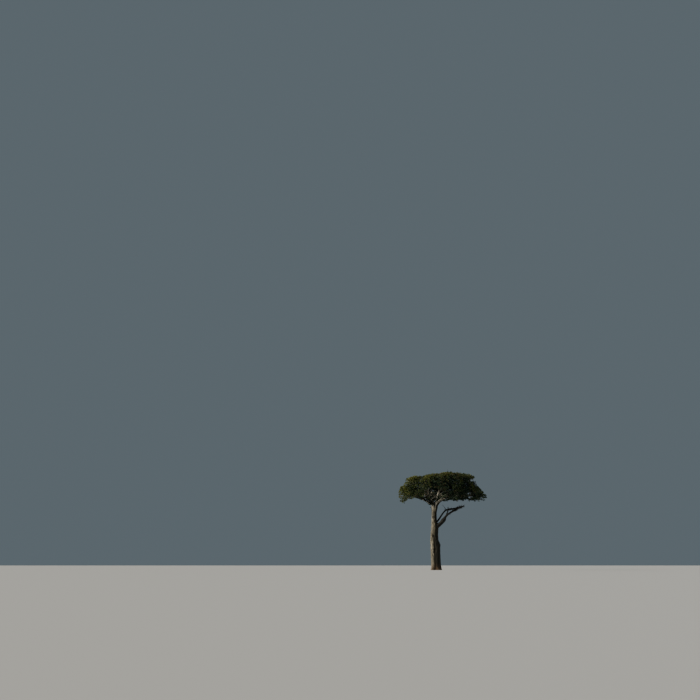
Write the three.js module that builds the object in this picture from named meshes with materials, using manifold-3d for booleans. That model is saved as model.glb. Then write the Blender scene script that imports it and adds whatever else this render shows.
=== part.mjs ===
// A flat-topped acacia tree, 9.85 m high: a fluted trunk that forks at its top, boughs that fan out
// under a shallow dome of foliage, and a group of dead limbs low on one side.
// Millimetres, +Z up. The origin is the centre of the flat cut at the foot of the trunk, +X runs
// to the right of the usual view of the tree and +Y away from the viewer.

import * as THREE from "three";
import { mergeVertices } from "three/addons/utils/BufferGeometryUtils.js";
import Module from "manifold-3d";

const wasm = await Module();
wasm.setup();

// Driving dimensions of the whole tree
const TREE_TOP = 9850;
const TRUNK_TOP = 6620;
const CROWN_LEFT = -3730;
const CROWN_RIGHT = 5150;
const CROWN_HALF_DEPTH = 4050;
const CROWN_MIDDLE_Y = 60;
const CROWN_RIM = 7620;
const CROWN_RIM_TILT = 170;
const CROWN_HIGHEST_X = 1600;
const CROWN_FALL_LEFT = 0.12;
const CROWN_FALL_RIGHT = 0.15;
const CLEARANCE = 0.3;
const KEEP_OUT = 6;

// The trunk: height, centre x, centre y and radius, from the cut to the fork
const TRUNK_STATIONS = [
  [0, 0, 0, 500],
  [330, 0, 0, 470],
  [1050, -25, 0, 462],
  [2500, -65, 0, 462],
  [3080, -140, 0, 392],
  [4110, -110, 10, 328],
  [4880, -150, 20, 256],
  [5640, -150, 10, 246],
  [6280, -95, 0, 266],
  [TRUNK_TOP, -60, 0, 130],
];
const TRUNK_SIDES = 20;
const TRUNK_STEPS = 19;
// Its flutes and its roots: how many, how deep, at what angle, and how fast the flutes turn
const FLUTES = [
  { count: 3, depth: 0.06, angle: 3.77, turn: 1 },
  { count: 5, depth: 0.04, angle: 1.05, turn: -1.7 },
];
const FLUTE_TURN_HEIGHT = 5200;
const ROOTS = { count: 5, spread: 0.1, depth: 0.13, angle: 0.7, height: 300 };
const STUB = { height: 6180, reach: 440, rise: 60, radius: 72 };

// The boughs under the crown, one main bough to a sector
const SECTORS = 6;
const BOUGH_RADIUS = 116;
const BOUGH_TIP_RADIUS = 44;
const SIDE_BOUGH_RADIUS = 66;
const SIDE_BOUGH_TIP_RADIUS = 36;
const LEADER_RADIUS = 108;
const BOUGH_SIDES = 6;
const BOUGH_STEPS = 6;
const BOUGH_TIP_HEIGHT = 7350;
const RISER_TIP_HEIGHT = 7380;
const BOUGH_LIFT = [400, 210];
const BOUGH_SEED = 300;
const LOWEST_FORK = 6060;
const FORK_RANGE = 260;
const BOUGH_INSET = 430;
const TIP_SCATTER = 90;
const SIDE_BOUGH = { fork: 0.5, lift: 60 };
const RISER = { fork: 0.34, lift: 130, inset: 60, scatter: 80 };
const LEADER = { height: 6350, lift: 120 };

// The right shoulder: the flat top ends there in a step down to a lower layer that slopes to the rim
const SHOULDER_START = 0.715;
const SHOULDER_END = 0.765;
const SHOULDER_HEIGHT = 1170;
const SHOULDER_SIDES = [0.3, 0.8];
const SHOULDER_INSET = 0.1;

// The foliage: where its masses stand in the crown's plan, as shares of the plan's half widths
const OUTER_RING = 0.76;
const INNER_RING = 0.37;
const OUTER_UNDERSIDE = 6980;
const END_DROOP = 110;
const RIM_DROOP = 300;
const RIM_DROOP_START = 0.78;
const INNER_UNDERSIDE = 6900;
const INNER_TURN = -14;
const MASS_SEED = 41;
const SCATTER = {
  outer: { azimuth: 4, ring: 0.03, underside: 80 },
  inner: { azimuth: 6, ring: 0.02, underside: 100 },
};
const CENTRE_RING = 0.02;
const MASS_RADIUS = 900;
const MASS_DOME = 170;
const CELL_MARGIN = 12;

// The stem of each mass, from its bough's tip up through the mass
const STEM_RISE = 0.86;
const STEM_STRAIGHT = 60;
const STEM_BEND = 0.35;
const STEM_TIP_RADIUS = 18;
const STEM_SIDES = 5;
const STEM_STEPS = 6;
const TOP_LEAVES = 4;
const TOP_LEAF_ANGLE = 1.35;
const STEM_LEAVES = 2;

// The twigs that leave the stem: where the lowest and the highest start and how steeply they rise
const SPOKES_OUTER = 5;
const SPOKES_INNER = 6;
const SPOKE_START = [0.06, 0.86];
const SPOKE_RISE = [-0.62, 0.35];
const RIM_TWIG_START = 0.34;
const RIM_TWIG_STEP = 0.2;
const RIM_TWIG_HEIGHTS = [-640, -40, 150];
const RIM_SPREAD = radians(8.5);
const TWIG_RADIUS = 17;
const TWIG_SIDES = 3;
const SHORTEST_TWIG = 100;

// A leaf stands for a whole spray, so it is far larger than life
const LEAF_LENGTH = 720;
const LEAF_WIDTH = 520;
const LEAF_SHOULDER = 0.16;
const LEAF_THICKNESS = 38;
const LEAF_SPACING = 320;
const LEAF_ANGLE = 1.05;
const LEAF_ROLL = 1.1;
const LEAF_SUNK = 0.16;
const LEAF_ATTEMPTS = 6;
const SMALLEST_LEAF = 0.45;
const BLADE_START = 100;
const REACH_STEP = 20;
const FIRST_SEED = 900;
const GOLDEN_ANGLE = Math.PI * (3 - Math.sqrt(5));
const UP = new THREE.Vector3(0, 0, 1);
const UPRIGHT = new THREE.Vector3(0.001, 0.001, 1).normalize();

const bark = new THREE.MeshStandardMaterial({ color: 0x8b7b62, roughness: 0.95, metalness: 0 });
const paleBark = new THREE.MeshStandardMaterial({ color: 0x9a8a70, roughness: 0.92, metalness: 0 });
const deadWood = new THREE.MeshStandardMaterial({ color: 0x4a443b, roughness: 0.97, metalness: 0 });
const foliage = new THREE.MeshStandardMaterial({ color: 0x3c4a1e, roughness: 0.85, metalness: 0 });

function seeded(seed) {
  let state = seed >>> 0;
  return () => {
    state = (Math.imul(state, 1664525) + 1013904223) >>> 0;
    return state / 4294967296;
  };
}

function vector(x, y, z) {
  return new THREE.Vector3(x, y, z);
}

function radians(degrees) {
  return THREE.MathUtils.degToRad(degrees);
}

// Solids: a closed three.js geometry becomes a solid that can be joined and cut
function solidOf(geometry) {
  const bare = geometry.clone();
  bare.deleteAttribute("normal");
  bare.deleteAttribute("uv");
  const merged = mergeVertices(bare, 1e-3);
  return new wasm.Manifold(
    new wasm.Mesh({
      numProp: 3,
      vertProperties: new Float32Array(merged.attributes.position.array),
      triVerts: new Uint32Array(merged.index.array),
    }),
  );
}

// The largest body of a solid, with any sealed hollow filled and any loose scrap dropped
function largestBody(solid) {
  return solid.decompose().reduce((best, body) => (body.volume() > best.volume() ? body : best));
}

function overlaps(solid, other) {
  return solid.intersect(other).volume() > 0;
}

// A tapering limb along a smooth path through stations of [height, x, y, radius]
class Limb {
  constructor(stations, sides, steps, shape = null) {
    const points = stations.map(([height, x, y]) => vector(x, y, height));
    const radii = stations.map(([, , , radius]) => vector(radius, 0, 0));
    this.path = new THREE.CatmullRomCurve3(points, false, "catmullrom");
    this.girth = new THREE.CatmullRomCurve3(radii, false, "catmullrom");
    this.sides = sides;
    this.steps = steps;
    this.shape = shape;
  }

  point(share) {
    return this.path.getPointAt(share);
  }

  direction(share) {
    return this.path.getTangentAt(share);
  }

  radius(share) {
    return this.girth.getPoint(this.path.getUtoTmapping(share)).x;
  }

  // Level rings suit the trunk, whose foot is a level cut. Other limbs have rings square to them.
  frames() {
    if (!this.shape) return this.path.computeFrenetFrames(this.steps, false);
    const rings = Array.from({ length: this.steps + 1 });
    return {
      tangents: rings.map(() => UP),
      normals: rings.map(() => vector(1, 0, 0)),
      binormals: rings.map(() => vector(0, 1, 0)),
    };
  }

  geometry(grown = 0) {
    const { tangents, normals, binormals } = this.frames();
    const tube = new THREE.CylinderGeometry(1, 1, 1, this.sides, this.steps);
    const place = tube.attributes.position;
    for (let i = 0; i < place.count; i++) {
      const share = place.getY(i) + 0.5;
      const ring = Math.round(share * this.steps);
      const centre = this.point(share);
      const angle = Math.atan2(-place.getZ(i), place.getX(i));
      const wave = this.shape ? this.shape(angle, centre.z) : 1;
      const radius = this.radius(share) * wave + grown;
      const endwise = ring === this.steps ? grown : ring === 0 ? -grown : 0;
      centre
        .addScaledVector(normals[ring], place.getX(i) * radius)
        .addScaledVector(binormals[ring], -place.getZ(i) * radius)
        .addScaledVector(tangents[ring], endwise);
      place.setXYZ(i, centre.x, centre.y, centre.z);
    }
    return tube;
  }
}

// Old trunks are fluted, and more so where the roots spread at the foot
function trunkFlutes(angle, height) {
  const twist = height / FLUTE_TURN_HEIGHT;
  const wave = (flute) => flute.depth * Math.sin(flute.count * angle + flute.angle + flute.turn * twist);
  const foot = Math.exp(-height / ROOTS.height);
  const roots = ROOTS.spread + ROOTS.depth * Math.sin(ROOTS.count * angle + ROOTS.angle);
  return 1 + FLUTES.reduce((sum, flute) => sum + wave(flute), 0) + foot * roots;
}

// The crown's envelope: a flat dome, steeper on the left, with a stepped shoulder on the right
const CROWN_MIDDLE_X = (CROWN_LEFT + CROWN_RIGHT) / 2;
const CROWN_HALF_WIDTH = (CROWN_RIGHT - CROWN_LEFT) / 2;

function crownShare(x, y) {
  return Math.hypot((x - CROWN_MIDDLE_X) / CROWN_HALF_WIDTH, (y - CROWN_MIDDLE_Y) / CROWN_HALF_DEPTH);
}

// The height of the dome at a point, less a drop for how far the point is from its mass's middle
function crownTop(x, y, drop) {
  const share = Math.min(crownShare(x, y), 1);
  const side = (x - CROWN_MIDDLE_X) / CROWN_HALF_WIDTH / Math.max(share, 1e-6);
  const steepness = 9 + 5 * Math.max(0, -side);
  const rim = CROWN_RIM - CROWN_RIM_TILT * side;
  const fallLeft = CROWN_FALL_LEFT * Math.max(0, CROWN_HIGHEST_X - x);
  const fallRight = CROWN_FALL_RIGHT * Math.max(0, x - CROWN_HIGHEST_X);
  const highest = TREE_TOP - drop - fallLeft - fallRight;
  const dome = rim + (highest - rim) * (1 - share ** steepness);
  const shoulder = rim + ((SHOULDER_HEIGHT - drop) * (1 - share)) / (1 - SHOULDER_END);
  const step =
    THREE.MathUtils.smoothstep(share, SHOULDER_START, SHOULDER_END) *
    THREE.MathUtils.smoothstep(side, ...SHOULDER_SIDES);
  return THREE.MathUtils.lerp(dome, Math.min(dome, shoulder), step);
}

function crownPoint(azimuth, share, height = 0) {
  return vector(
    CROWN_MIDDLE_X + CROWN_HALF_WIDTH * share * Math.cos(azimuth),
    CROWN_MIDDLE_Y + CROWN_HALF_DEPTH * share * Math.sin(azimuth),
    height,
  );
}

// The masses of the right shoulder stand further in, under the end of the flat top
function outerRing(azimuth) {
  return OUTER_RING - SHOULDER_INSET * Math.max(0, Math.cos(azimuth)) ** 2;
}

// Where each mass stands. Every mass owns the ground plan that is nearest to its middle.
function massPlan() {
  const random = seeded(MASS_SEED);
  const { outer, inner } = SCATTER;
  const wobble = (size) => size * (2 * random() - 1);
  const masses = [];
  for (let k = 0; k < 2 * SECTORS; k++) {
    const azimuth = radians((k * 180) / SECTORS + wobble(outer.azimuth));
    masses.push({
      name: `foliage_outer_${String(k + 1).padStart(2, "0")}`,
      middle: crownPoint(azimuth, outerRing(azimuth) + wobble(outer.ring)),
      underside: OUTER_UNDERSIDE - END_DROOP * Math.cos(azimuth) ** 2 + wobble(outer.underside),
      azimuth,
      rimHeight: CROWN_RIM - CROWN_RIM_TILT * Math.cos(azimuth),
    });
  }
  for (let k = 0; k < SECTORS; k++) {
    const azimuth = radians((k * 360) / SECTORS + INNER_TURN + wobble(inner.azimuth));
    masses.push({
      name: `foliage_inner_${k + 1}`,
      middle: crownPoint(azimuth, INNER_RING + wobble(inner.ring)),
      underside: INNER_UNDERSIDE + wobble(inner.underside),
    });
  }
  masses.push({
    name: "foliage_centre",
    middle: crownPoint(0, CENTRE_RING),
    underside: INNER_UNDERSIDE,
  });
  return masses;
}

const masses = massPlan();

function flatDistance(point, middle) {
  return Math.hypot(point.x - middle.x, point.y - middle.y);
}

// True where a point lies in a mass's own space: its cell in plan, under its dome and over its
// underside, which droops towards the crown's rim
function inSpace(mass, point) {
  const own = flatDistance(point, mass.middle);
  const share = crownShare(point.x, point.y);
  if (share > 1) return false;
  const swell = (own / MASS_RADIUS) ** 2;
  if (point.z > crownTop(point.x, point.y, MASS_DOME * Math.min(swell, 1.5))) return false;
  const droop = RIM_DROOP * THREE.MathUtils.smoothstep(share, RIM_DROOP_START, 1);
  if (point.z < mass.underside + MASS_DOME * Math.min(swell, 1) - droop) return false;
  return masses.every((other) => {
    if (other === mass) return true;
    const span = flatDistance(other.middle, mass.middle);
    const theirs = flatDistance(point, other.middle);
    return (theirs ** 2 - own ** 2) / (2 * span) > CELL_MARGIN;
  });
}

// How far a twig can run from a point before it leaves the mass's space
function reach(mass, start, direction) {
  const probe = start.clone();
  let length = 0;
  while (inSpace(mass, probe.addScaledVector(direction, REACH_STEP))) length += REACH_STEP;
  return length;
}

// Boughs, each worked out from where it starts and the mass that it carries. A bough leaves its
// fork steeply and then runs flat under the crown.
function bough(start, tip, lift, radius, tipRadius) {
  const along = (share, height) => {
    const p = start.clone().lerp(tip, share);
    return [height, p.x, p.y, THREE.MathUtils.lerp(radius, tipRadius, share)];
  };
  const rise = tip.z - start.z;
  return new Limb(
    [
      along(0, start.z),
      along(0.07, start.z + rise * 0.07 + lift * 0.45),
      along(0.18, start.z + rise * 0.18 + lift * 0.86),
      along(0.45, start.z + rise * 0.45 + lift),
      along(0.75, start.z + rise * 0.75 + lift * 0.5),
      along(1, tip.z),
    ],
    BOUGH_SIDES,
    BOUGH_STEPS,
  );
}

const trunk = new Limb(TRUNK_STATIONS, TRUNK_SIDES, TRUNK_STEPS, trunkFlutes);

function trunkAxis(height) {
  return trunk.point(height / TRUNK_TOP);
}

// A point inside a mass, on the side that its bough comes from
function entry(mass, from, inset, height) {
  const way = vector(from.x - mass.middle.x, from.y - mass.middle.y, 0).normalize();
  return vector(mass.middle.x, mass.middle.y, height).addScaledVector(way, inset);
}

const LIVE_BOUGHS = [];
for (let k = 0; k < SECTORS; k++) {
  const random = seeded(BOUGH_SEED + k);
  const outer = masses[2 * k];
  const beside = masses[2 * k + 1];
  const inner = masses[2 * SECTORS + k];
  const start = trunkAxis(LOWEST_FORK + FORK_RANGE * random());
  const tip = entry(outer, start, BOUGH_INSET, BOUGH_TIP_HEIGHT + TIP_SCATTER * random());
  const lift = BOUGH_LIFT[0] + BOUGH_LIFT[1] * Math.cos(outer.azimuth);
  const main = bough(start, tip, lift, BOUGH_RADIUS, BOUGH_TIP_RADIUS);
  const fork = main.point(SIDE_BOUGH.fork);
  const sideTip = entry(beside, fork, BOUGH_INSET, BOUGH_TIP_HEIGHT + TIP_SCATTER * random());
  const side = bough(fork, sideTip, SIDE_BOUGH.lift, SIDE_BOUGH_RADIUS, SIDE_BOUGH_TIP_RADIUS);
  const crotch = main.point(RISER.fork);
  const riserTip = entry(inner, crotch, RISER.inset, RISER_TIP_HEIGHT + RISER.scatter * random());
  const riser = bough(crotch, riserTip, RISER.lift, SIDE_BOUGH_RADIUS, SIDE_BOUGH_TIP_RADIUS);
  LIVE_BOUGHS.push({ name: `bough_${k + 1}`, limb: main, mass: outer });
  LIVE_BOUGHS.push({ name: `side_bough_${k + 1}`, limb: side, mass: beside });
  LIVE_BOUGHS.push({ name: `rising_bough_${k + 1}`, limb: riser, mass: inner });
}
const centre = masses[masses.length - 1];
const leader = bough(
  trunkAxis(LEADER.height),
  vector(centre.middle.x, centre.middle.y, RISER_TIP_HEIGHT),
  LEADER.lift,
  LEADER_RADIUS,
  BOUGH_TIP_RADIUS,
);
LIVE_BOUGHS.push({ name: "leader_bough", limb: leader, mass: centre });

// The dead limbs on the right: height, x, y and radius from the trunk out
const DEAD_LIMBS = [
  {
    name: "dead_limb_lower",
    stations: [
      [4250, -60, -20, 190],
      [4640, 480, -130, 165],
      [5000, 790, -190, 175],
      [5340, 1010, -230, 105],
      [5640, 1360, -270, 88],
      [5960, 1930, -330, 88],
      [6190, 2340, -360, 84],
      [6350, 2810, -380, 50],
    ],
    steps: 14,
  },
  {
    name: "dead_limb_upper",
    stations: [
      [4560, -110, 60, 84],
      [5050, 300, 120, 76],
      [5720, 760, 180, 66],
      [5990, 1100, 210, 66],
      [6080, 1600, 220, 72],
      [6230, 2360, 230, 52],
    ],
    steps: 10,
  },
  {
    name: "dead_limb_prong",
    stations: [
      [5420, 1060, -236, 62],
      [5700, 1140, -190, 52],
      [6010, 1240, -130, 30],
    ],
    steps: 4,
  },
  {
    name: "dead_twig",
    stations: [
      [5960, 1060, 205, 30],
      [6210, 900, 190, 22],
      [6510, 660, 180, 12],
    ],
    steps: 4,
  },
];

// Each limb is cut clear of the limbs that were there before it
const limbSolids = new Map();
let grownLimbs = null;
let keepOut = null;

function addLimb(name, limb, extra = null) {
  let solid = solidOf(limb.geometry());
  let grown = solidOf(limb.geometry(CLEARANCE));
  let far = solidOf(limb.geometry(KEEP_OUT));
  if (extra) {
    solid = solid.add(solidOf(extra.geometry()));
    grown = grown.add(solidOf(extra.geometry(CLEARANCE)));
    far = far.add(solidOf(extra.geometry(KEEP_OUT)));
  }
  if (grownLimbs) solid = largestBody(solid.subtract(grownLimbs));
  limbSolids.set(name, solid);
  grownLimbs = grownLimbs ? grownLimbs.add(grown) : grown;
  keepOut = keepOut ? keepOut.add(far) : far;
}

function brokenStub() {
  const root = trunkAxis(STUB.height);
  const end = root.clone().add(vector(-STUB.reach, 0, STUB.rise));
  return new Limb(
    [
      [root.z, root.x, root.y, STUB.radius],
      [(root.z + end.z) / 2, (root.x + end.x) / 2, root.y, STUB.radius * 0.9],
      [end.z, end.x, end.y, STUB.radius * 0.55],
    ],
    6,
    2,
  );
}

addLimb("trunk", trunk, brokenStub());
for (const { name, limb } of LIVE_BOUGHS) addLimb(name, limb);
for (const { name, stations, steps } of DEAD_LIMBS) addLimb(name, new Limb(stations, BOUGH_SIDES, steps));

// A leaf is a flat kite of eight faces, widest past its middle, its root sunk in the twig
function leafGeometry(root, direction, roll, length) {
  const across = vector().crossVectors(direction, UP).normalize().applyAxisAngle(direction, roll);
  const face = vector().crossVectors(across, direction);
  const basis = new THREE.Matrix4().makeBasis(
    across.multiplyScalar((LEAF_WIDTH / LEAF_LENGTH) * length * 0.5),
    direction.clone().multiplyScalar(length / 2),
    face.multiplyScalar(LEAF_THICKNESS / 2),
  );
  basis.setPosition(root.clone().addScaledVector(direction, length / 2));
  const kite = new THREE.OctahedronGeometry(1);
  const place = kite.attributes.position;
  for (let i = 0; i < place.count; i++) {
    if (Math.abs(place.getY(i)) < 0.5) place.setY(i, LEAF_SHOULDER);
  }
  return kite.applyMatrix4(basis);
}

function corners(geometry) {
  const place = geometry.attributes.position;
  return Array.from({ length: place.count }, (_, i) => vector().fromBufferAttribute(place, i));
}

// A direction that leans away from another one by an angle, turned round it
function leaning(way, angle, turn) {
  const across = vector().crossVectors(way, UP).normalize().applyAxisAngle(way, turn);
  return way.clone().multiplyScalar(Math.cos(angle)).addScaledVector(across, Math.sin(angle));
}

// Grows one mass: a stem that carries on from its bough's tip, twigs that leave it all round and
// run towards the edge of the mass's space, and then leaves at the twigs' ends and along them
class Growth {
  constructor(mass, boughLimb, seed) {
    this.mass = mass;
    this.random = seeded(seed);
    this.pieces = [];
    this.twigs = [];
    this.stem = this.stemFrom(boughLimb);
    this.join(solidOf(this.stem.geometry()));
  }

  // The stem leaves the bough's tip in line with it and bends up through the mass's middle
  stemFrom(boughLimb) {
    const { middle, underside } = this.mass;
    const outward = boughLimb.direction(1);
    const foot = boughLimb.point(1).addScaledVector(outward, CLEARANCE);
    const top = crownTop(middle.x, middle.y, 0);
    const head = vector(middle.x, middle.y, THREE.MathUtils.lerp(underside, top, STEM_RISE));
    const bend = foot.clone().addScaledVector(outward, (head.z - foot.z) * STEM_BEND);
    const girth = boughLimb.radius(1);
    const path = new THREE.QuadraticBezierCurve3(foot, bend, head);
    const points = [foot, foot.clone().addScaledVector(outward, STEM_STRAIGHT), path.getPoint(0.5), head];
    const radii = [girth, girth, (girth + STEM_TIP_RADIUS) / 2, STEM_TIP_RADIUS];
    const stations = points.map(({ x, y, z }, i) => [z, x, y, radii[i]]);
    return new Limb(stations, STEM_SIDES, STEM_STEPS);
  }

  wobble(size) {
    return size * (2 * this.random() - 1);
  }

  join(solid) {
    this.pieces.push({ solid, box: boxOf(solid) });
  }

  // A piece that would leave the mass's space or touch a limb is skipped
  fits(geometry, solid) {
    return corners(geometry).every((corner) => inSpace(this.mass, corner)) && !overlaps(solid, keepOut);
  }

  // On an outer mass three twigs run out to the crown's rim, one above another, the lowest drooping
  growRim() {
    const { azimuth, rimHeight } = this.mass;
    for (const turn of [0, -1, 1]) {
      const start = this.stem.point(RIM_TWIG_START + RIM_TWIG_STEP * turn);
      const aim = crownPoint(azimuth + turn * RIM_SPREAD, 1, rimHeight + RIM_TWIG_HEIGHTS[turn + 1]);
      this.growTwig(start, aim.sub(start).normalize());
    }
  }

  // Twigs leave the stem one after another, each further round it and a little steeper
  growSpokes(count) {
    for (let i = 0; i < count; i++) {
      const share = THREE.MathUtils.lerp(...SPOKE_START, i / (count - 1));
      const rise = THREE.MathUtils.lerp(...SPOKE_RISE, i / (count - 1)) + this.wobble(0.1);
      const azimuth = i * GOLDEN_ANGLE + this.wobble(0.3);
      const flat = Math.sqrt(1 - rise * rise);
      this.growTwig(this.stem.point(share), vector(flat * Math.cos(azimuth), flat * Math.sin(azimuth), rise));
    }
  }

  // A twig runs as far as leaves room for the leaf at its end
  growTwig(start, way) {
    const length = Math.max(reach(this.mass, start, way) - LEAF_LENGTH * (1 - LEAF_SUNK), SHORTEST_TWIG);
    const end = start.clone().addScaledVector(way, length);
    const shape = twigBetween(start, end);
    const solid = solidOf(shape);
    if (!this.fits(shape, solid)) return;
    this.join(solid);
    this.twigs.push({ start, end, way, length });
    const sunk = end.clone().addScaledVector(way, -LEAF_LENGTH * LEAF_SUNK);
    this.growLeaf(sunk, way, this.wobble(0.08), 0);
  }

  // A leaf takes the first of a few turns round its twig where it is clear of all that is there
  growLeaf(root, way, angle, turn) {
    for (let attempt = 0; attempt < LEAF_ATTEMPTS; attempt++) {
      const direction = leaning(way, angle, turn + attempt * GOLDEN_ANGLE);
      const roll = this.wobble(LEAF_ROLL);
      const length = Math.min(LEAF_LENGTH, reach(this.mass, root, direction));
      if (length < LEAF_LENGTH * SMALLEST_LEAF) continue;
      const shape = leafGeometry(root, direction, roll, length);
      const solid = solidOf(shape);
      const bladeRoot = root.clone().addScaledVector(direction, BLADE_START);
      const blade = solidOf(leafGeometry(bladeRoot, direction, roll, length - BLADE_START));
      if (!this.fits(shape, solid) || this.touches(blade)) continue;
      this.join(solid);
      return;
    }
  }

  touches(solid) {
    const box = boxOf(solid);
    return this.pieces.some((piece) => box.intersectsBox(piece.box) && overlaps(solid, piece.solid));
  }

  growTwigLeaves({ start, end, way, length }) {
    const count = Math.max(1, Math.round(length / LEAF_SPACING));
    for (let j = 0; j < count; j++) {
      const root = start.clone().lerp(end, (j + 0.7) / (count + 0.1));
      this.growLeaf(root, way, LEAF_ANGLE, j * Math.PI + this.wobble(0.6));
    }
  }

  // The stem's head carries a leaf upright and a flat whorl under the top of the crown
  growHead() {
    this.growLeaf(this.stem.point(0.99), this.stem.direction(1), 0.05, 0);
    for (let i = 0; i < TOP_LEAVES; i++) {
      const turn = (i * 2 * Math.PI) / TOP_LEAVES + this.wobble(0.2);
      this.growLeaf(this.stem.point(0.97 - 0.03 * i), UPRIGHT, TOP_LEAF_ANGLE, turn);
    }
  }

  growStemLeaves() {
    for (let i = 0; i < STEM_LEAVES; i++) {
      const share = THREE.MathUtils.lerp(0.3, 0.75, i / (STEM_LEAVES - 1));
      this.growLeaf(this.stem.point(share), this.stem.direction(share), LEAF_ANGLE, this.wobble(Math.PI));
    }
  }

  solid() {
    const outer = this.mass.rimHeight !== undefined;
    if (outer) this.growRim();
    this.growHead();
    this.growSpokes(outer ? SPOKES_OUTER : SPOKES_INNER);
    for (const twig of this.twigs) this.growTwigLeaves(twig);
    this.growStemLeaves();
    return largestBody(wasm.Manifold.union(this.pieces.map((piece) => piece.solid)));
  }
}

function boxOf(solid) {
  const { min, max } = solid.boundingBox();
  return new THREE.Box3(vector(...min), vector(...max));
}

// A straight three-sided twig that tapers to a point
function twigBetween(start, end) {
  const way = end.clone().sub(start).normalize();
  const turned = new THREE.Quaternion().setFromUnitVectors(vector(0, 1, 0), way);
  return new THREE.ConeGeometry(TWIG_RADIUS, start.distanceTo(end), TWIG_SIDES, 1)
    .applyQuaternion(turned)
    .translate(...start.clone().lerp(end, 0.5).toArray());
}

// The scene graph: each piece's mesh stands at its own place in the tree's group
const tree = new THREE.Group();
tree.name = "acacia_tree";

function meshOf(name, solid, material) {
  const made = solid.getMesh();
  const anchor = vector(...solid.boundingBox().min.map(Math.round));
  const place = new Float32Array(made.numVert * 3);
  for (let i = 0; i < made.numVert; i++) {
    place[3 * i] = made.vertProperties[made.numProp * i] - anchor.x;
    place[3 * i + 1] = made.vertProperties[made.numProp * i + 1] - anchor.y;
    place[3 * i + 2] = made.vertProperties[made.numProp * i + 2] - anchor.z;
  }
  const geometry = new THREE.BufferGeometry()
    .setAttribute("position", new THREE.BufferAttribute(place, 3))
    .setIndex(new THREE.BufferAttribute(new Uint32Array(made.triVerts), 1));
  geometry.computeVertexNormals();
  const mesh = new THREE.Mesh(geometry, material);
  mesh.name = name;
  mesh.position.copy(anchor);
  return mesh;
}

for (const [name, solid] of limbSolids) {
  const material = name === "trunk" ? bark : name.startsWith("dead") ? deadWood : paleBark;
  tree.add(meshOf(name, solid, material));
}
LIVE_BOUGHS.forEach(({ limb, mass }, i) => {
  const growth = new Growth(mass, limb, FIRST_SEED + i);
  tree.add(meshOf(mass.name, growth.solid(), foliage));
});

export default tree;
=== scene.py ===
# A flat-topped acacia tree in full detail: bark with its relief on the trunk, the boughs and the
# dead limbs, and twigs and leaves that grow on from the boughs by the rule of the tree's solids.
# Metres, +Z up. The origin is the centre of the flat cut at the foot of the trunk.

import math

import bpy
import numpy as np
from bpy.props import FloatProperty, FloatVectorProperty, IntProperty, PointerProperty
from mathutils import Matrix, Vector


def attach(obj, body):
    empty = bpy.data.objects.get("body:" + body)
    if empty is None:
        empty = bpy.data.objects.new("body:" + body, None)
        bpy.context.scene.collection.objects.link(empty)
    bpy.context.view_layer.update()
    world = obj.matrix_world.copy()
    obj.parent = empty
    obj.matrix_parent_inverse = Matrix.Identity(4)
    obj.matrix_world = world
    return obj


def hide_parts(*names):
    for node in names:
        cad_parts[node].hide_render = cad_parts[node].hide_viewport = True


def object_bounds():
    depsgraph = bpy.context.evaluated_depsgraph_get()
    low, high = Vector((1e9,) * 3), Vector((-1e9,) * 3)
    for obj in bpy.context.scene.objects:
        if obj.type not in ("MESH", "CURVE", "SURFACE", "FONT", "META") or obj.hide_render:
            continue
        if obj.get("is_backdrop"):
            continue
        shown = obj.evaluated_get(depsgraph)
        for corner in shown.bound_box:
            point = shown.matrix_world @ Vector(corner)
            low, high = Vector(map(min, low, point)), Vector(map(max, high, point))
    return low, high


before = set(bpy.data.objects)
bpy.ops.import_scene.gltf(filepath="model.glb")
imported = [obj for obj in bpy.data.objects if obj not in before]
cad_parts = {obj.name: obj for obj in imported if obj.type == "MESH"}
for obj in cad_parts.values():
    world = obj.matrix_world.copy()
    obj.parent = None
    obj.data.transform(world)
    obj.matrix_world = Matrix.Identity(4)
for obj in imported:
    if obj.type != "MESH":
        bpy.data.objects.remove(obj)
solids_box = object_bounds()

bl_info = {
    "name": "Acacia tree",
    "version": (1, 0, 0),
    "blender": (4, 5, 0),
    "location": "3D View > Sidebar > Acacia",
    "description": "Builds a flat-topped acacia tree on the frame of its solids",
    "category": "Add Mesh",
}

UP = np.array([0.0, 0.0, 1.0])
GOLDEN_ANGLE = math.pi * (3 - math.sqrt(5))
SECTORS = 6

# The crown's envelope, as in the solids: a flat dome, steeper on the left, that steps down to a
# shoulder on the right
TREE_TOP = 9.85
CROWN_LEFT = -3.73
CROWN_RIGHT = 5.15
CROWN_HALF_DEPTH = 4.05
CROWN_MIDDLE_X = (CROWN_LEFT + CROWN_RIGHT) / 2
CROWN_MIDDLE_Y = 0.06
CROWN_HALF_WIDTH = (CROWN_RIGHT - CROWN_LEFT) / 2
CROWN_RIM = 7.62
CROWN_RIM_TILT = 0.17
CROWN_HIGHEST_X = 1.6
CROWN_FALL_LEFT = 0.12
CROWN_FALL_RIGHT = 0.15
DOME_STEEPNESS = 9
LEFT_STEEPNESS = 5
SHOULDER_START = 0.715
SHOULDER_END = 0.765
SHOULDER_HEIGHT = 1.17
SHOULDER_SIDES = (0.3, 0.8)
SHOULDER_INSET = 0.1

# The trunk, as in the solids: height, centre x, centre y and radius
TRUNK_TOP = 6.62
TRUNK_STATIONS = [
    [0, 0, 0, 0.5],
    [0.33, 0, 0, 0.47],
    [1.05, -0.025, 0, 0.462],
    [2.5, -0.065, 0, 0.462],
    [3.08, -0.14, 0, 0.392],
    [4.11, -0.11, 0.01, 0.328],
    [4.88, -0.15, 0.02, 0.256],
    [5.64, -0.15, 0.01, 0.246],
    [6.28, -0.095, 0, 0.266],
    [TRUNK_TOP, -0.06, 0, 0.13],
]
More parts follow.
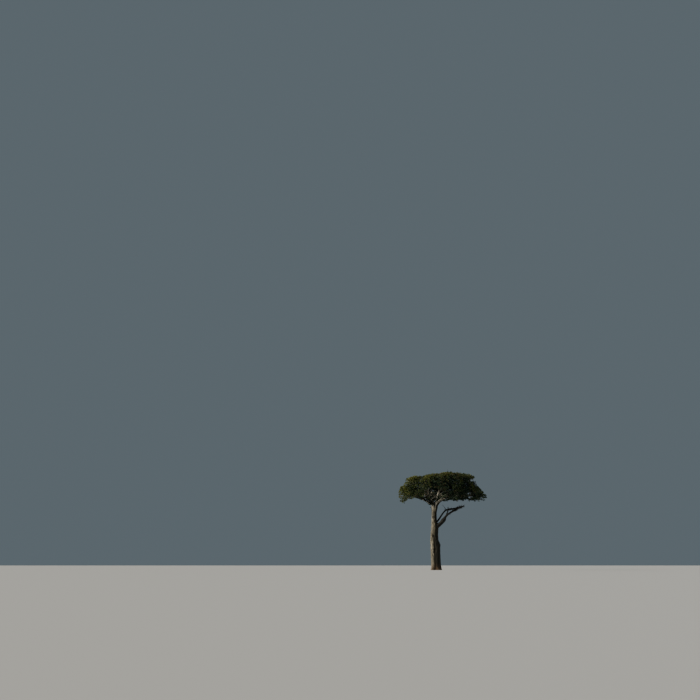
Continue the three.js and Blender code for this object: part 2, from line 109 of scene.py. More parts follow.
# Its flutes and roots: how many, how deep, at what angle, and how fast the flutes turn
FLUTES = ((3, 0.06, 3.77, 1), (5, 0.04, 1.05, -1.7))
FLUTE_TURN_HEIGHT = 5.2
ROOTS = (5, 0.13, 0.7)
ROOT_SPREAD = 0.1
ROOT_FLARE_HEIGHT = 0.3
# The ribs at its top, one under each main bough
RIB_DEPTH = 0.22
RIB_HEIGHTS = (5.8, 6.45)
# The broken stub, with its share along and its share of the radius at three stations
STUB_HEIGHT = 6.18
STUB_REACH = 0.44
STUB_RISE = 0.06
STUB_RADIUS = 0.072
STUB_TAPER = ((0, 1), (0.5, 0.9), (1, 0.55))

# Marks on the trunk: azimuth in degrees, height, half width, half height and depth, in metres
FOLDS = [
    (258, 1.9, 0.07, 1.5, -0.055),
    (20, 1.3, 0.09, 1.1, -0.045),
    (128, 2.3, 0.08, 1.5, -0.05),
    (195, 3.9, 0.05, 0.9, -0.022),
    (310, 4.6, 0.05, 0.8, -0.02),
]
KNOTS = [
    (232, 5.25, 0.11, 0.16, -0.06),
    (244, 3.38, 0.12, 0.15, -0.055),
    (254, 2.05, 0.1, 0.16, -0.05),
    (214, 4.7, 0.04, 0.1, -0.02),
    (80, 3.1, 0.07, 0.095, -0.06),
    (150, 4.5, 0.05, 0.07, -0.045),
    (345, 1.15, 0.07, 0.08, -0.05),
]
BURLS = [
    (352, 2.5, 0.22, 0.18, 0.05),
    (250, 5.1, 0.1, 0.2, 0.022),
    (205, 3.55, 0.14, 0.25, 0.03),
    (75, 4.95, 0.15, 0.3, 0.03),
    (120, 0.9, 0.2, 0.22, 0.05),
    (350, 4.36, 0.28, 0.42, 0.07),
]

# The boughs under the crown, as in the solids, one main bough to a sector
BOUGH_RADIUS = 0.116
BOUGH_TIP_RADIUS = 0.044
BOUGH_TIP_HEIGHT = 7.35
BOUGH_INSET = 0.43
BOUGH_LIFT = (0.4, 0.21)
BOUGH_BOW = ((0, 0), (0.07, 0.45), (0.18, 0.86), (0.45, 1), (0.75, 0.5), (1, 0))
BOUGH_SEED = 300
TIP_SCATTER = 0.09
LOWEST_FORK = 6.06
FORK_RANGE = 0.26
SIDE_BOUGH_FORK = 0.5
SIDE_BOUGH_LIFT = 0.06
SIDE_BOUGH_RADIUS = 0.066
SIDE_BOUGH_TIP_RADIUS = 0.036
RISER_FORK = 0.34
RISER_LIFT = 0.13
RISER_INSET = 0.06
RISER_SCATTER = 0.08
RISER_TIP_HEIGHT = 7.38
LEADER_FOOT = 6.35
LEADER_LIFT = 0.12
LEADER_RADIUS = 0.108

# Pale limbs that show at the fork: height, x, y and radius
FORK_LIMBS = [
    [
        [6.35, -0.04, -0.1, 0.1],
        [6.85, 0.1, -0.28, 0.11],
        [7.35, 0.24, -0.44, 0.12],
        [7.95, 0.33, -0.54, 0.07],
    ],
    [
        [6.35, -0.14, -0.1, 0.08],
        [6.8, -0.24, -0.26, 0.07],
        [7.25, -0.27, -0.4, 0.06],
        [7.8, -0.42, -0.55, 0.03],
    ],
    [
        [6.7, -0.22, -0.22, 0.05],
        [7.1, -0.62, -0.5, 0.042],
        [7.45, -1.08, -0.8, 0.036],
        [8.05, -1.12, -1.0, 0.02],
    ],
    [
        [7.2, 0.2, -0.36, 0.05],
        [7.6, 0.55, -0.6, 0.042],
        [7.95, 1.0, -0.85, 0.03],
        [8.15, 1.35, -0.95, 0.02],
    ],
]

# The dead limbs, as in the solids: height, x, y and radius from the trunk out
DEAD_LIMBS = {
    "dead_limb_lower": [
        [4.25, -0.06, -0.02, 0.19],
        [4.64, 0.48, -0.13, 0.165],
        [5.0, 0.79, -0.19, 0.175],
        [5.34, 1.01, -0.23, 0.105],
        [5.64, 1.36, -0.27, 0.088],
        [5.96, 1.93, -0.33, 0.088],
        [6.19, 2.34, -0.36, 0.084],
        [6.35, 2.81, -0.38, 0.05],
    ],
    "dead_limb_upper": [
        [4.56, -0.11, 0.06, 0.084],
        [5.05, 0.3, 0.12, 0.076],
        [5.72, 0.76, 0.18, 0.066],
        [5.99, 1.1, 0.21, 0.066],
        [6.08, 1.6, 0.22, 0.072],
        [6.23, 2.36, 0.23, 0.052],
    ],
    "dead_limb_prong": [
        [5.42, 1.06, -0.236, 0.062],
        [5.7, 1.14, -0.19, 0.052],
        [6.01, 1.24, -0.13, 0.03],
    ],
    "dead_twig": [
        [5.96, 1.06, 0.205, 0.03],
        [6.21, 0.9, 0.19, 0.022],
        [6.51, 0.66, 0.18, 0.012],
    ],
}
# Their knots: azimuth in degrees, distance along, half width, half length and depth
DEAD_KNOTS = {
    "dead_limb_lower": [
        (0, 0.98, 0.14, 0.2, 0.035),
        (180, 1.1, 0.14, 0.2, 0.035),
        (20, 2.5, 0.09, 0.12, 0.04),
        (200, 2.72, 0.09, 0.14, 0.05),
        (95, 2.95, 0.09, 0.14, 0.06),
        (275, 3.0, 0.09, 0.12, 0.045),
        (20, 3.2, 0.08, 0.12, 0.055),
        (190, 3.32, 0.08, 0.12, 0.06),
        (100, 3.44, 0.06, 0.09, 0.035),
    ],
    "dead_limb_upper": [
        (30, 1.85, 0.07, 0.1, 0.035),
        (210, 2.1, 0.07, 0.12, 0.04),
        (120, 2.4, 0.07, 0.12, 0.05),
        (300, 2.65, 0.07, 0.12, 0.05),
    ],
}

# Bark meshes by kind of limb: sides, rings, the swelling where it joins its parent and a first seed
BARK_MESHES = {
    "trunk": (24, 60, 0.0, 1),
    "stub": (3, 6, 0.4, 2),
    "bough": (3, 14, 0.7, 3),
    "dead": (4, 18, 0.35, 30),
    "fork": (3, 14, 0.3, 40),
}
# The width and depth of the bark's plates on the thinner limbs
STUB_PLATES = (0.03, 0.012)
BOUGH_PLATES = (0.04, 0.009)
DEAD_PLATES = (0.045, 0.014)
# The layers of its relief: a texture, its grain and depth as shares of the plates', and settings
BARK_LAYERS = (
    ("swells", "CLOUDS", 3.2, 0.9, {"noise_depth": 1}),
    ("ridges", "MUSGRAVE", 0.9, 1.1, {"musgrave_type": "RIDGED_MULTIFRACTAL", "octaves": 3}),
    ("plates", "VORONOI", 1, 0.7, {"weight_1": -1.0, "weight_2": 1.0, "noise_intensity": 1.6}),
    ("grit", "CLOUDS", 0.22, 0.6, {"noise_depth": 3}),
)
# Each face of a bark mesh is split in eight each way
SPLITS = 3
# How far a collar runs up its limb, in radii, and what shows that a corner is on a limb's side
COLLAR_STRETCH = 3.2
SIDE_INSET = 0.99
GRAIN_STRETCH = 8
TEXTURE_SPACING = 7.3
RELIEF_PERCENTILES = (4, 96)

# Where the bark is painted as sunlit and where as shaded: the azimuth of the side painted sunlit
# at each height, and the lee side, on which the painted shade is partly lifted
SUNNY_HEIGHTS = (0, 1.6, 2.6, 3.2, 4.3, 4.8, 5.3, 6.0)
SUNNY_AZIMUTHS = (190, 198, 205, 206, 222, 224, 214, 238)
SUNNY_TILT = 0.22
SUNNY_RANGE = (0.48, 0.72)
LEE_AZIMUTH = math.radians(62)
LEE_RANGE = (0.3, 0.85)
LEE_SHARE = 0.6
# The heights between which the trunk's colours turn into the boughs', which are paler, partly as
# painted light
BOUGH_COLOUR_RANGE = (5.9, 6.7)
# The patterns of the bark's colour, in waves to a metre of the trunk
BARK_PATTERNS = {"patches": 2.6, "streaks": 26, "flecks": 90, "warp": 9, "cracks": 15}
CRACK_WANDER = 0.07
# The palest and the darkest of the dead wood, as shares of its colour
SILVER_SHARE = 2.3
BLACK_SHARE = 0.25

# Where the foliage masses stand, as in the solids: shares of the crown's half widths, and heights
OUTER_RING = 0.76
INNER_RING = 0.37
CENTRE_RING = 0.02
OUTER_UNDERSIDE = 6.98
INNER_UNDERSIDE = 6.9
END_DROOP = 0.11
INNER_TURN = -14
MASS_SEED = 41
# How far each is moved at random: azimuth in degrees, ring and underside
OUTER_SCATTER = (4, 0.03, 0.08)
INNER_SCATTER = (6, 0.02, 0.1)

# The space that a mass keeps to: its cell in plan, under its dome and over its underside
MASS_RADIUS = 0.9
MASS_DOME = 0.17
MOST_SWELL = 1.5
CELL_MARGIN = 0.012
RIM_DROOP = 0.3
RIM_DROOP_START = 0.78
DEPTH_FALL = 0.4
DEPTH_FALL_RANGE = (1.2, 4.0)
REACH_STEP = 0.02
LONGEST_REACH = 2.6

# The stem of a mass
STEM_RISE = 0.86
STEM_STRAIGHT = 0.06
STEM_BEND = 0.35
STEM_WANDER = 0.09
STEM_TAPER = (0.65, 0.45)
STEM_TIP_RADIUS = 0.012
STEM_POINTS = 12
GROWTH_SEED = 900

# Its branches: to the crown's rim, all round it like spokes, and flat out at its head
RIM_TURNS = (0, -1, 1, -1.7, 1.7, 0.5, -0.5, 0)
RIM_SPREAD = math.radians(8.5)
RIM_LEVELS = (-1.1, 1.3)
RIM_START = 0.34
RIM_STEP = 0.2
RIM_HEIGHTS = (-0.64, -0.04, 0.15)
RIM_RAISE = (-0.05, 0.25)
SPOKE_START = (0.04, 0.9)
SPOKE_RISE = (-0.7, 0.42)
SPOKE_RISE_SCATTER = 0.1
SPOKE_TURN_SCATTER = 0.3
HEAD_START = 0.985
HEAD_STEP = 0.012
HEAD_LEAN = 1.35
HEAD_LEAN_STEP = 0.35
HEAD_SCATTER = 0.2
BRANCH_REACH = (0.86, 1.2)
SHORTEST_BRANCH = 0.3
BRANCH_GIRTH = 0.5

# How each kind of twig grows: how much it rises, how crooked it is, and the points of its path
HABITS = {
    "branch": (0.3, 0.05, 7),
    "twig": (0.25, 0.06, 4),
    "shoot": (0.5, 0.06, 2),
    "sprig": (0.4, 0.08, 6),
    "wisp": (0, 0.06, 7),
    "branchlet": (0.3, 0.1, 6),
    "fine_branchlet": (0.2, 0.08, 4),
    "top_twig": (0.3, 0.09, 8),
    "fine_top_twig": (0.3, 0.08, 4),
    "dead_twig": (0, 0.17, 8),
    "fine_dead_twig": (0, 0.14, 5),
}
# The sides of their tubes
STEM_SIDES = 8
BRANCH_SIDES = 5
TWIG_SIDES = 3
DEAD_TWIG_SIDES = 6
FINE_DEAD_TWIG_SIDES = 4

# Side growth: its habit, the bare share of its parent, its shortest and longest, and its radius
TWIG_SPAN = (0.34, 0.72)
SHOOT_SPAN = (0.14, 0.26)
SIDE_GROWTH = {
    "branch_twigs": ("twig", 0.08, TWIG_SPAN, 0.008),
    "stem_twigs": ("twig", 0.2, TWIG_SPAN, 0.008),
    "branch_shoots": ("shoot", 0.2, SHOOT_SPAN, 0.0035),
    "twig_shoots": ("shoot", 0.12, SHOOT_SPAN, 0.003),
}
STEM_TWIG_SPACING = 0.07
BRANCH_SHOOT_SPACING = 1.5
SITE_SCATTER = (0.15, 0.85)
SIDE_ANGLE = (0.95, 0.12)
SIDE_TURN_SCATTER = 0.7
SIDE_SHORTENING = 0.45
SIZE_SCATTER = (0.85, 1.15)
TWIG_TAPER = 0.35
# The leafy end of a twig: its length, and where on the twig it can start at the earliest
END_LENGTH = 0.16
END_START = 0.3
END_POINTS = 4

# Pairs of leaflets along a shoot: where each stands in its share of it, the stretch of a half wave
# that their lengths follow, and their width at the root, part of it by their length
PAIR_OFFSET = 0.6
PAIR_WAVE = (0.12, 0.82)
PAIR_ROOT = (0.7, 0.3)
LEAFLET_LEAN = 0.45
LEAF_SAG = (-0.1, 0.2)
# How much longer they are deep inside the crown, and how far in from its top and its rim that is
SHADE_GROWTH = 0.3
SHADE_BELOW_TOP = 0.9
SHADE_FROM_RIM = 0.25

# The tone of a spray, in steps from deep to light: lighter with height and near the rim and darker
# to the right, as painted light and shade, and changed by slow patches over the crown and by chance
LEAF_SHADES = ("deep", "dark", "middle", "olive", "light", "dry")
LIGHT_BELOW_TOP = 1.5
LIGHT_RIM = (0.55, 0.4)
LIGHT_STEPS = 3.7
RISE_POWER = 1.2
RIM_LIGHT = 0.55
PATCH_STEPS = 0.7
CHANCE_STEPS = (0.35, 0.4)
SHADE_STEPS_TO_RIGHT = 0.2
PATCH_WAVES = np.array([[2.1, -1.6, 3.3, 1.1], [1.3, 2.4, -2.2, 3.9], [0.9, 1.9, 2.8, -3.1]])
PATCH_PHASES = np.array([0.3, 1.9, 4.2, 5.1])
# Dry sprays: their share anywhere and at most, the middle and half width of the patch, and its rise
DRY_SHARES = (0.02, 0.4)
DRY_MIDDLE_X = 1.2
DRY_HALF_WIDTH = 1.9
DRY_RISE_POWER = 4

# The way that the sun's light travels
SUNLIGHT = (1.0, 0.1, -0.46)

# The gap before the fork and the sun's way to it: the share of growth left out, the gap's middle
# and half size, and the distances between which a gap fades
GAP_SHARE = 0.88
SPRIG_GAP_SHARE = 0.42
GAP_MIDDLE = (-0.25, 7.35)
GAP_HALF = (1.1, 0.72)
GAP_FADE = (0.75, 1.2)
GAP_DEPTH = (-0.1, 0.5)
GAP_FLOOR = (6.85, 7.1)
SUN_GAP_FOOT = (0.0, -0.35, 7.35)
SUN_GAP_RADIUS = 0.65
SUN_GAP_FADE = (0.8, 1.15)

# Openings in the photographed view: x, height, half width, half height and share left out
OPENINGS = [
    (-2.05, 6.78, 0.7, 0.34, 1.0),
    (-3.3, 7.3, 0.3, 0.2, 0.45),
    (-1.1, 7.95, 0.16, 0.12, 0.9),
    (-0.66, 8.2, 0.18, 0.1, 0.9),
    (-1.12, 7.4, 0.15, 0.14, 0.9),
    (0.7, 7.75, 0.13, 0.1, 0.8),
    (1.1, 8.0, 0.2, 0.08, 0.8),
    (3.34, 7.62, 0.24, 0.11, 0.95),
    (3.55, 7.27, 0.26, 0.12, 0.95),
    (3.9, 9.03, 0.5, 0.17, 1.0),
    (4.75, 8.05, 0.2, 0.2, 0.7),
]
OPENING_FADE = (0.85, 1.15)

# Bare branchlets along the boughs, and the finer ones on them
BRANCHLETS_PER_METRE = 6
BRANCHLET_STRETCH = (0.08, 0.9)
BRANCHLET_ANGLES = (0.5, 1.1)
BRANCHLET_RISES = (0.2, 0.8)
BRANCHLET_SPAN = (0.3, 0.8)
BRANCHLET_RADIUS = 0.016
BRANCHLET_GIRTH = 0.3
BRANCHLET_SCATTER = (0.6, 1)
BRANCHLET_SEED = 500
FINE_BRANCHLET_SITES = (0.13, 0.25)
FINE_BRANCHLET_ANGLE = 0.8
FINE_BRANCHLET_SPAN = (0.12, 0.34)
FINE_BRANCHLET_RADIUS = 0.007

# A bare twig that stands up out of the crown: its foot, way, length and radius, and its short ones
TOP_TWIG = ((1.34, -0.5, 9.2), (0.02, 0.0, 1.0), 0.9, 0.024)
TOP_TWIG_SEED = 7
FINE_TOP_TWIG_SITES = (0.07, 0.5)
FINE_TOP_TWIG_ANGLE = 0.7
FINE_TOP_TWIG_LENGTH = 0.3
FINE_TOP_TWIG_SHORTENING = 0.25
FINE_TOP_TWIG_RADIUS = 0.008

# Leafy sprigs on each kind of bough, with twice as many on the left
SPRIGS = {"bough": 9, "side": 4, "rising": 5, "leader": 6}
LEFT_SPRIGS = 2
SPRIG_STRETCH = (0.17, 0.95)
LEFT_SPRIG_START = 0.05
LEFT_SPRIG_X = -0.4
SPRIG_ANGLES = (0.5, 1.2)
SPRIG_RISES = (0.35, 0.9)
SPRIG_SPAN = (0.25, 0.5)
SPRIG_RADIUS = 0.009
SPRIG_SEED = 700

# Sprays that hang from the rim: azimuths in degrees, how far they drop, and their ends in the crown
FRONT_WISPS = (182, 189)
FRONT_WISP_DROP = 0.34
MORE_WISPS = 9
WISP_AZIMUTHS = (45, 315)
WISP_DROPS = (0, 0.22)
WISP_RING = (0.76, 0.94)
WISP_HEIGHT = 7.26
WISP_RADIUS = 0.012
WISP_SEED = 350

# Ragged twigs on the dead limbs. The first few are splinters at the end, in line with the limb.
DEAD_TWIGS_PER_METRE = 9
SPLINTERS = 7
SPLINTER_SHARE = 0.96
SPLINTER_LEAN = 0.35
DEAD_TWIG_OUTER = 0.98
DEAD_TWIG_STRETCH = 0.48
DEAD_TWIG_CROWDING = 1.2
DEAD_TWIG_ANGLES = (0.35, 1.1)
DEAD_TWIG_SPREAD = (1, 0.5, 1)
DEAD_TWIG_RISES = (-0.1, 0.25)
DEAD_TWIG_SPAN = (0.1, 0.34)
DEAD_TWIG_RADII = (0.022, 0.045)
DEAD_TWIG_GIRTH = 0.8
DEAD_TWIG_SEED = 60
DEAD_REACH = 2.86
LEAST_RUN = 0.2
FINE_DEAD_TWIG_SITES = (0.08, 0.25)
FINE_DEAD_TWIG_ANGLES = (0.4, 0.9)
FINE_DEAD_TWIG_TURN_SCATTER = 0.9
FINE_DEAD_TWIG_SPAN = (0.05, 0.16)
FINE_DEAD_TWIG_RADIUS = 0.009

# The stage: the way each light travels, its size in degrees and its colour
LIGHTS = {
    "key": (SUNLIGHT, 5, (1.0, 0.93, 0.8)),
    "back": ((-0.5, -0.9, -0.6), 50, (0.85, 0.93, 1.0)),
    "side": ((-1.0, 0.2, -0.35), 60, (0.85, 0.93, 1.0)),
}
LIGHT_DISTANCE = 30
SKY_COLOUR = (0.7, 0.88, 1.0)
FLOOR_SIZE = 2400
FLOOR_ROUGHNESS = 0.9
# The camera. The tree's foot stands right of the picture's middle and under it, by these shares of
# its distance.
VIEW_DISTANCE = 152
VIEW_HEIGHT = 0.5
FOOT_RIGHT = 0.0569
FOOT_DOWN = 0.1467
# Half the angle of view, 35 m to a side at 150 m
HALF_VIEW = math.atan(35 / 150)
SENSOR_WIDTH = 36
CLIP_END = 3000


# Paths


def catmull_rom(stations, share):
    """Points of a smooth curve through the stations, at shares of its stretches."""
    stations = np.asarray(stations, float)
    padded = np.vstack([2 * stations[0] - stations[1], stations, 2 * stations[-1] - stations[-2]])
    place = np.clip(share, 0, 1) * (len(stations) - 1)
    first = np.minimum(place.astype(int), len(stations) - 2)
    t = (place - first)[:, None]
    before, start, end, after = (padded[first + k] for k in range(4))
    leaving = (end - before) / 2
    arriving = (after - start) / 2
    return (
        (2 * t**3 - 3 * t**2 + 1) * start
        + (t**3 - 2 * t**2 + t) * leaving
        + (3 * t**2 - 2 * t**3) * end
        + (t**3 - t**2) * arriving
    )


def unit(vectors):
    return vectors / np.maximum(np.linalg.norm(vectors, axis=-1, keepdims=True), 1e-9)


class Limb:
    """A tapering limb along a smooth path through stations of height, x, y and radius."""

    SAMPLES = 201
    NUDGE = 1e-3
    ASIDE = (0.31, 0.95, 0.02)

    def __init__(self, stations):
        rows = np.array(stations, float)
        self.points = rows[:, [1, 2, 0]]
        self.radii = rows[:, 3:]
        self.shares = np.linspace(0, 1, self.SAMPLES)
        self.track = catmull_rom(self.points, self.shares)
        steps = np.linalg.norm(np.diff(self.track, axis=0), axis=1)
        self.run = np.concatenate([[0], np.cumsum(steps)])
        self.length = self.run[-1]

    def stretch(self, share):
        return np.interp(np.atleast_1d(share) * self.length, self.run, self.shares)

    def places(self, share):
        return catmull_rom(self.points, self.stretch(share))

    def point(self, share):
        return self.places(share)[0]

    def directions(self, share):
        spot = self.stretch(share)
        ahead = catmull_rom(self.points, np.minimum(spot + self.NUDGE, 1))
        behind = catmull_rom(self.points, np.maximum(spot - self.NUDGE, 0))
        return unit(ahead - behind)

    def direction(self, share):
        return self.directions(share)[0]

    def girth(self, share):
        return catmull_rom(self.radii, self.stretch(share))[:, 0]

    def across(self, share):
        """Two directions square to the limb, carried along it without a twist."""
        ways = self.directions(self.shares)
        normal = unit(np.cross(ways[0], self.ASIDE))
        carried = []
        for way in ways:
            normal = unit(normal - way * np.dot(normal, way))
            carried.append(normal)
        normals = np.array(carried)
        picked = np.stack([np.interp(share, self.shares, normals[:, k]) for k in range(3)], axis=1)
        ways = self.directions(share)
        normals = unit(picked - ways * np.sum(picked * ways, axis=1, keepdims=True))
        return normals, np.cross(ways, normals)


# The crown's plan, worked out as for the solids


def seeded(seed):
    """Draws the same numbers from 0 to 1 as the solids do for a seed."""
    state = seed

    def draw():
        nonlocal state
        state = (state * 1664525 + 1013904223) % 2**32
        return state / 2**32

    return draw


def crown_share(x, y):
    """How far out a place is in the crown's plan: 0 in the middle and 1 on the rim."""
    across = (x - CROWN_MIDDLE_X) / CROWN_HALF_WIDTH
    return np.hypot(across, (y - CROWN_MIDDLE_Y) / CROWN_HALF_DEPTH)


def smooth_step(value, low, high):
    t = np.clip((value - low) / (high - low), 0, 1)
    return t * t * (3 - 2 * t)


def crown_top(x, y, drop):
    """The height of the dome, less a drop for how far a point is from its mass's middle."""
    share = np.clip(crown_share(x, y), 1e-6, 1)
    side = (x - CROWN_MIDDLE_X) / CROWN_HALF_WIDTH / share
    steepness = DOME_STEEPNESS + LEFT_STEEPNESS * np.maximum(0, -side)
    rim = CROWN_RIM - CROWN_RIM_TILT * side
    fall = CROWN_FALL_LEFT * np.maximum(0, CROWN_HIGHEST_X - x)
    fall = fall + CROWN_FALL_RIGHT * np.maximum(0, x - CROWN_HIGHEST_X)
    dome = rim + (TREE_TOP - drop - fall - rim) * (1 - share**steepness)
    shoulder = rim + (SHOULDER_HEIGHT - drop) * (1 - share) / (1 - SHOULDER_END)
    step = smooth_step(share, SHOULDER_START, SHOULDER_END) * smooth_step(side, *SHOULDER_SIDES)
    return dome + (np.minimum(dome, shoulder) - dome) * step


def crown_point(azimuth, share, height=0.0):
    return np.array(
        [
            CROWN_MIDDLE_X + CROWN_HALF_WIDTH * share * math.cos(azimuth),
            CROWN_MIDDLE_Y + CROWN_HALF_DEPTH * share * math.sin(azimuth),
            height,
        ]
    )


class Mass:
    """A foliage mass: its middle in plan, its underside and, on the crown's rim, its azimuth."""

    def __init__(self, name, middle, underside, azimuth=None):
        self.name = name
        self.middle = middle
        self.underside = underside
        self.azimuth = azimuth

    def holds(self, points):
        """True for each point in the mass's cell, under its dome and over its underside."""
        own = np.hypot(*(points - self.middle)[:, :2].T)
        swell = (own / MASS_RADIUS) ** 2
        top = crown_top(points[:, 0], points[:, 1], MASS_DOME * np.minimum(swell, MOST_SWELL))
        share = crown_share(points[:, 0], points[:, 1])
        top = top - DEPTH_FALL * smooth_step(abs(points[:, 1] - CROWN_MIDDLE_Y), *DEPTH_FALL_RANGE)
        inside = (share <= 1) & (points[:, 2] <= top)
        droop = RIM_DROOP * smooth_step(share, RIM_DROOP_START, 1)
        inside &= points[:, 2] >= self.underside + MASS_DOME * np.minimum(swell, 1) - droop
        for other in MASSES:
            if other is self:
                continue
            span = np.hypot(*(other.middle - self.middle)[:2])
            theirs = np.hypot(*(points - other.middle)[:, :2].T)
            inside &= (theirs**2 - own**2) / (2 * span) > CELL_MARGIN
        return inside

    def reach(self, starts, ways):
        """How far each straight line runs before it leaves the mass's space."""
        lengths = np.zeros(len(starts))
        running = np.ones(len(starts), bool)
        while running.any() and lengths.max() < LONGEST_REACH:
            ahead = starts + ways * (lengths + REACH_STEP)[:, None]
            running &= self.holds(ahead)
            lengths[running] += REACH_STEP
        return lengths


def mass_plan():
    """The masses of the outer ring, of the inner ring and over the middle."""
    draw = seeded(MASS_SEED)
    masses = []
    turn, ring, rise = OUTER_SCATTER

    def wobble(size):
        return size * (2 * draw() - 1)

    for k in range(2 * SECTORS):
        azimuth = math.radians(k * 180 / SECTORS + wobble(turn))
        share = OUTER_RING - SHOULDER_INSET * max(0, math.cos(azimuth)) ** 2
        middle = crown_point(azimuth, share + wobble(ring))
        underside = OUTER_UNDERSIDE - END_DROOP * math.cos(azimuth) ** 2 + wobble(rise)
        masses.append(Mass(f"foliage_outer_{k + 1:02d}", middle, underside, azimuth))
    turn, ring, rise = INNER_SCATTER
    for k in range(SECTORS):
        azimuth = math.radians(k * 360 / SECTORS + INNER_TURN + wobble(turn))
        middle = crown_point(azimuth, INNER_RING + wobble(ring))
        masses.append(Mass(f"foliage_inner_{k + 1}", middle, INNER_UNDERSIDE + wobble(rise)))
    masses.append(Mass("foliage_centre", crown_point(0, CENTRE_RING), INNER_UNDERSIDE))
    return masses


def bough(start, tip, lift, radius, tip_radius):
    """A bough leaves its fork steeply and then runs flat under the crown."""
    rise = tip[2] - start[2]
    stations = []
    for share, bow in BOUGH_BOW:
        x, y = (start + (tip - start) * share)[:2]
        girth = radius + (tip_radius - radius) * share
        stations.append([start[2] + rise * share + lift * bow, x, y, girth])
    return Limb(stations)


def trunk_axis(height):
    return TRUNK.point(height / TRUNK_TOP)


def entry(mass, start, inset, height):
    """A point inside a mass, on the side that its bough comes from."""
    flat = np.array([start[0] - mass.middle[0], start[1] - mass.middle[1], 0])
    return np.array([mass.middle[0], mass.middle[1], height]) + unit(flat) * inset


def live_boughs():
    """Each bough's name, path and mass, in the order in which the solids grow."""
    boughs = []
    for k in range(SECTORS):
        draw = seeded(BOUGH_SEED + k)
        outer, beside, inner = MASSES[2 * k], MASSES[2 * k + 1], MASSES[2 * SECTORS + k]
        start = trunk_axis(LOWEST_FORK + FORK_RANGE * draw())
        tip = entry(outer, start, BOUGH_INSET, BOUGH_TIP_HEIGHT + TIP_SCATTER * draw())
        lift = BOUGH_LIFT[0] + BOUGH_LIFT[1] * math.cos(outer.azimuth)
        main = bough(start, tip, lift, BOUGH_RADIUS, BOUGH_TIP_RADIUS)
        fork = main.point(SIDE_BOUGH_FORK)
        tip = entry(beside, fork, BOUGH_INSET, BOUGH_TIP_HEIGHT + TIP_SCATTER * draw())
        side = bough(fork, tip, SIDE_BOUGH_LIFT, SIDE_BOUGH_RADIUS, SIDE_BOUGH_TIP_RADIUS)
        crotch = main.point(RISER_FORK)
        tip = entry(inner, crotch, RISER_INSET, RISER_TIP_HEIGHT + RISER_SCATTER * draw())
        riser = bough(crotch, tip, RISER_LIFT, SIDE_BOUGH_RADIUS, SIDE_BOUGH_TIP_RADIUS)
        boughs.append((f"bough_{k + 1}", main, outer))
        boughs.append((f"side_bough_{k + 1}", side, beside))
        boughs.append((f"rising_bough_{k + 1}", riser, inner))
    centre = MASSES[-1]
    tip = np.array([centre.middle[0], centre.middle[1], RISER_TIP_HEIGHT])
    leader = bough(trunk_axis(LEADER_FOOT), tip, LEADER_LIFT, LEADER_RADIUS, BOUGH_TIP_RADIUS)
    boughs.append(("leader_bough", leader, centre))
    return boughs


TRUNK = Limb(TRUNK_STATIONS)
MASSES = mass_plan()
BOUGHS = live_boughs()


# Materials


class Signal:
    """A socket of a material. Python's operators on it add Math nodes."""

    def __init__(self, finish, socket):
        self.finish = finish
        self.socket = socket

    def __add__(self, other):
        return self.finish.math("ADD", self, other)

    def __sub__(self, other):
        return self.finish.math("SUBTRACT", self, other)

    def __rsub__(self, other):
        return self.finish.math("SUBTRACT", other, self)

    def __mul__(self, other):
        return self.finish.math("MULTIPLY", self, other)

    __radd__ = __add__
    __rmul__ = __mul__


class Finish:
    """A material whose nodes are added one by one."""

    def __init__(self, name):
        self.material = bpy.data.materials.new(name)
        self.material.use_nodes = True
        self.tree = self.material.node_tree
        self.surface = self.tree.nodes["Principled BSDF"]

    def add(self, kind, settings=None, inputs=None):
        node = self.tree.nodes.new(kind)
        for name, value in (settings or {}).items():
            setattr(node, name, value)
        self.fill(node, inputs or {})
        return node

    def fill(self, node, inputs):
        for name, value in inputs.items():
            if isinstance(value, Signal):
                self.tree.links.new(value.socket, node.inputs[name])
            else:
                node.inputs[name].default_value = value

    def output(self, node, name):
        return Signal(self, node.outputs[name])

    def math(self, operation, first, second):
        node = self.add("ShaderNodeMath", {"operation": operation}, {0: first, 1: second})
        return self.output(node, 0)

    def attribute(self, name, output):
        return self.output(self.add("ShaderNodeAttribute", {"attribute_name": name}), output)

    def noise(self, vector, scale, detail=3.0, roughness=0.55):
        inputs = {"Vector": vector, "Scale": scale, "Detail": detail, "Roughness": roughness}
        return self.output(self.add("ShaderNodeTexNoise", {}, inputs), "Fac")

    def warped(self, vector, scale, amount):
        """A vector pushed about by noise, so that a pattern on it wanders."""
        noise = self.add("ShaderNodeTexNoise", {}, {"Vector": vector, "Scale": scale})
        inputs = {0: self.output(noise, "Color"), 1: (amount,) * 3, 2: vector}
        node = self.add("ShaderNodeVectorMath", {"operation": "MULTIPLY_ADD"}, inputs)
        return self.output(node, "Vector")

    def cracks(self, vector, scale):
        """Near 0 on the lines between cells, and rising away from them."""
        settings = {"feature": "DISTANCE_TO_EDGE"}
        node = self.add("ShaderNodeTexVoronoi", settings, {"Vector": vector, "Scale": scale})
        return self.output(node, "Distance")

    def spread(self, value, low, high):
        """A value brought from its range low to high to the range 0 to 1."""
        inputs = {"Value": value, "From Min": low, "From Max": high}
        node = self.add("ShaderNodeMapRange", {"interpolation_type": "SMOOTHSTEP"}, inputs)
        return self.output(node, "Result")

    def blend(self, factor, first, second):
        """A Mix node on colours, whose factor and two colours are its inputs 0, 6 and 7."""
        inputs = {0: factor, 6: first, 7: second}
        return self.output(self.add("ShaderNodeMix", {"data_type": "RGBA"}, inputs), 2)

    def scaled(self, vector, scale):
        node = self.add("ShaderNodeMapping", {}, {"Vector": vector, "Scale": scale})
        return self.output(node, "Vector")

    def bump(self, height, distance):
        node = self.add("ShaderNodeBump", {}, {"Height": height, "Distance": distance})
        return self.output(node, "Normal")

    def set_surface(self, inputs):
        self.fill(self.surface, inputs)
        return self.material


def rgba(colour):
    return (*colour, 1.0)


